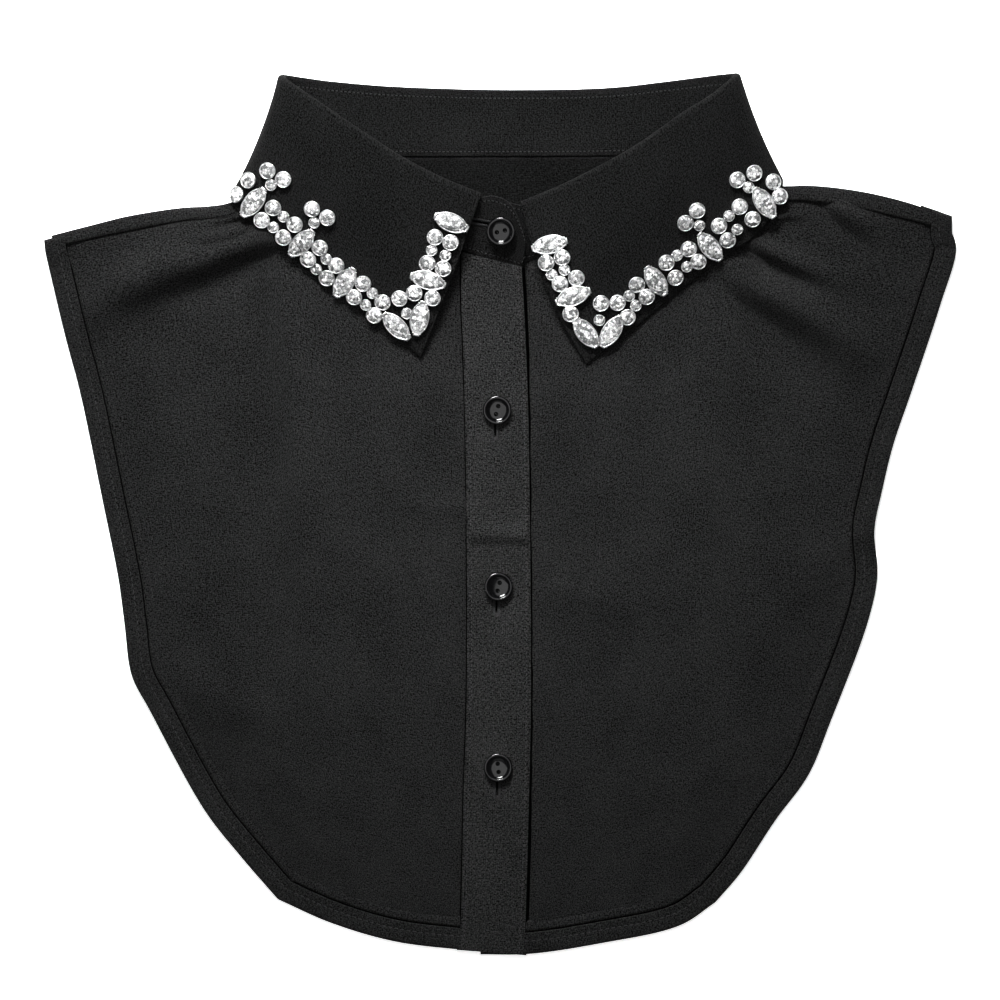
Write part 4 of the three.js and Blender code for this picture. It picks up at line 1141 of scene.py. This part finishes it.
rightStones = [
    ["large", 111.4, 136.3],
    ["large", 114.2, 130.4],
    ["navette", 108.0, 128.0, -55],
    ["large", 100.3, 138.8, 21, 7.3],
    ["small", 101.6, 134.3],
    ["large", 100.6, 124.0, -44, 7.4],
    ["small", 95.4, 120.0, -58, 6.5],
    ["large", 91.3, 115.9, -58, 6.9],
    ["large", 78.1, 122.5, 47, 7.0],
    ["small", 81.5, 118.9],
    ["navette", 85.8, 110.3, -52],
    ["large", 79.0, 106.8, -52, 6.5],
    ["small", 74.3, 104.3, -49, 6.1],
    ["large", 69.7, 100.7, -59, 7.1],
    ["navette", 63.6, 96.3, -56],
    ["large", 57.8, 92.2, -51, 6.3],
    ["small", 54.1, 88.0, -56, 4.8],
    ["large", 52.0, 81.3],
    ["navette", 45.4, 75.4, 60],
    ["small", 40.6, 80.0],
    ["large", 44.6, 87.1, 2, 6.7],
    ["navette", 35.1, 74.8, -52],
    ["large", 28.9, 82.6],
    ["navette", 30.0, 89.8, 21],
    ["large", 28.0, 96.1, 20, 7.1],
    ["small", 23.9, 99.6, 21, 5.6],
    ["large", 22.3, 104.6, 19, 6.9],
    ["navette", 20.5, 111.0, 14],
]


def navetteShape(verts, length, width):
    # draws a circle of unit radius out to two arcs that meet in blunt points
    for vert in verts:
        x, y = vert.co.x, vert.co.y
        vert.co.x = x * length / 2
        full = max((1 - abs(x) ** 2.4) ** 0.8, 0.34)
        vert.co.y = math.copysign(full, y) * width / 2 if abs(y) > 1e-6 else 0


def ring(bm, kind, scale, z, sides, shift=0):
    made = bmesh.ops.create_circle(bm, segments=sides, radius=1, cap_ends=False)["verts"]
    turn = Matrix.Rotation(shift * math.tau / sides, 3, "Z")
    bmesh.ops.rotate(bm, verts=made, cent=(0, 0, 0), matrix=turn)
    size = stones[kind]
    if kind == "navette":
        navetteShape(made, size["length"] * scale, size["width"] * scale)
    else:
        bmesh.ops.scale(bm, verts=made, vec=(size["radius"] * scale, size["radius"] * scale, 1))
    for vert in made:
        vert.co.z = z
    return made


def cutStone(kind):
    # girdle, crown and table rings whose hull is the faceted stone
    bm = bmesh.new()
    top, sides = stones[kind]["height"], stones[kind]["sides"]
    verts = []
    for scale, z, share, shift in stones["cut"]:
        verts += ring(bm, kind, scale, z * top, int(sides * share), shift)
    bmesh.ops.convex_hull(bm, input=verts)
    bmesh.ops.delete(bm, geom=[e for e in bm.edges if not e.link_faces], context="EDGES")
    bmesh.ops.dissolve_limit(bm, angle_limit=math.radians(1), verts=bm.verts, edges=bm.edges)
    bmesh.ops.recalc_face_normals(bm, faces=bm.faces)
    bmesh.ops.transform(bm, verts=bm.verts, matrix=Matrix.Scale(mm, 4))
    return bm


def cup(kind):
    # the pressed metal cup: a wall of rings bridged from its foot over the rim to the stone
    bm = bmesh.new()
    top = stones[kind]["height"]
    sides = 2 * stones[kind]["sides"]
    loops = []
    for scale, z in stones["cup"]:
        loops.append(ring(bm, kind, scale, z * top, sides))
    bmesh.ops.contextual_create(bm, geom=loops[0])
    edges = [[e for e in bm.edges if set(e.verts) <= group] for group in map(set, loops)]
    for low, high in zip(edges, edges[1:]):
        bmesh.ops.bridge_loops(bm, edges=low + high)
    bmesh.ops.recalc_face_normals(bm, faces=bm.faces)
    claws = []
    if kind == "navette":
        half, wide = stones[kind]["length"] / 2, stones[kind]["width"] / 2
        corners = [(sx, sy) for sx in (-1, 1) for sy in (-1, 1)]
        claws = [(sx * 0.84 * half, sy * 1.6, 50 * sx * sy + 90 - 90 * sx) for sx, sy in corners]
        claws += [(sx * 0.52 * half, sy * 0.74 * wide, 90 * sy) for sx, sy in corners]
    else:
        radius = stones[kind]["radius"] * 0.9
        for k in range(4):
            angle = math.radians(45 + 90 * k)
            claws.append((radius * math.cos(angle), radius * math.sin(angle), 45 + 90 * k))
    for x, y, turn in claws:
        place = Matrix.Translation((x, y, stones["clawHeight"] * top))
        place = place @ Matrix.Rotation(math.radians(turn), 4, "Z")
        tilt = Matrix.Rotation(math.radians(stones["clawLean"]), 4, "Y")
        size = Matrix.Diagonal((*stones["claw"], 1))
        bmesh.ops.create_icosphere(bm, subdivisions=1, radius=1, matrix=place @ tilt @ size)
    bmesh.ops.transform(bm, verts=bm.verts, matrix=Matrix.Scale(mm, 4))
    for face in bm.faces:
        face.material_index = 1
        face.smooth = True
    return bm


def prototype(kind):
    mesh = bpy.data.meshes.new("stone " + kind)
    whole = bmesh.new()
    for part in (cutStone(kind), cup(kind)):
        gather(whole, part)
    whole.to_mesh(mesh)
    whole.free()
    return mesh


prototypes = {kind: prototype(kind) for kind in ("large", "small", "navette")}


def stoneField(name, rows, node):
    bm = bmesh.new()
    for order, (kind, x, y, *more) in enumerate(rows):
        turn, spacing = (*more, 0, 0)[:2]
        count = 2 if spacing else 1
        for k in range(count):
            shift = (k - (count - 1) / 2) * spacing
            angle = math.radians(turn)
            place, face = seatOn(surfaces["leaf"], x + shift * math.cos(angle), y + shift * math.sin(angle))
            spin = turn if kind == "navette" else turn + 37 * order + 61 * k
            matrix = levelTurn(face, spin)
            matrix.translation = Vector(place) * mm + face * stones["seat"] * mm
            before = len(bm.verts)
            bm.from_mesh(prototypes[kind])
            bm.verts.ensure_lookup_table()
            bmesh.ops.transform(bm, verts=bm.verts[before:], matrix=matrix)
    piece = addPiece(name, bm, [crystal, silver], smooth=False)
    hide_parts(node)


stoneField("rhinestonesLeft", leftStones, "rhinestones_left")
stoneField("rhinestonesRight", rightStones, "rhinestones_right")
print("rhinestones made")

# Floor, lights and camera
studio = {
    "paper": "#f4f4f3",
    "fibre": "#f8f8f7",
    "sky": "#e9e9e9",
    "skyStrength": 0.12,
    "aim": (-0.02, 0.09, 0.0),
    "gamma": 0.8,  # a firmer black, as in a catalogue picture
    "glow": 0.8,  # the backdrop is lit from below as well, so it stays white in the shadows
    "softboxes": [
        # place, size, power in watts, spread in degrees
        [(-0.14, 0.84, 0.74), (0.44, 0.32), 1.42, 32],
        [(-0.06, 0.10, 0.46), (0.50, 0.40), 1.15, 180],
        [(0.0, -0.38, 0.55), (0.42, 0.26), 0.15, 180],
    ],
    "pixel": 0.00041,
    "centreRow": 514.5,
}


def studioFloor():
    bm = bmesh.new()
    bmesh.ops.create_grid(bm, x_segments=2, y_segments=2, size=2)
    bmesh.ops.translate(bm, verts=bm.verts, vec=(0, 0, -0.0002))
    constants = {"Roughness": 0.9, "Specular IOR Level": 0.2, "Emission Color": (1, 1, 1, 1)}
    constants["Emission Strength"] = studio["glow"]
    material, tree, shader = newMaterial("seamless backdrop paper", constants)
    fibre = grainOf(tree, objectPlace(tree), 90.0)
    shadeWith(tree, shader, colourRamp(tree, fibre, [(0.3, studio["paper"]), (0.7, studio["fibre"])]))
    floor = addPiece("floor", bm, [material], None)


def softbox(name, place, size, power, spread):
    lamp = bpy.data.lights.new(name, "AREA")
    lamp.shape = "RECTANGLE"
    lamp.size, lamp.size_y = size
    lamp.energy = power
    lamp.spread = math.radians(spread)
    light = bpy.data.objects.new(name, lamp)
    light.location = place
    light.rotation_euler = (Vector(studio["aim"]) - Vector(place)).to_track_quat("-Z", "Y").to_euler()
    bpy.context.scene.collection.objects.link(light)


studioFloor()
for index, settings in enumerate(studio["softboxes"]):
    softbox(f"softbox{index + 1}", *settings)
world = bpy.data.worlds.new("studio")
world.use_nodes = True
world.node_tree.nodes["Background"].inputs["Color"].default_value = linear(studio["sky"])
world.node_tree.nodes["Background"].inputs["Strength"].default_value = studio["skyStrength"]
bpy.context.scene.world = world

lens = bpy.data.cameras.new("overhead")
lens.type = "ORTHO"
lens.ortho_scale = 1000 * studio["pixel"]
lens.clip_end = 10
camera = bpy.data.objects.new("overhead", lens)
camera.location = (0, (studio["centreRow"] - 500) * studio["pixel"], 1.2)
bpy.context.scene.collection.objects.link(camera)
bpy.context.scene.camera = camera
bpy.context.scene.view_settings.view_transform = "Standard"
bpy.context.scene.view_settings.gamma = studio["gamma"]
print("studio set")
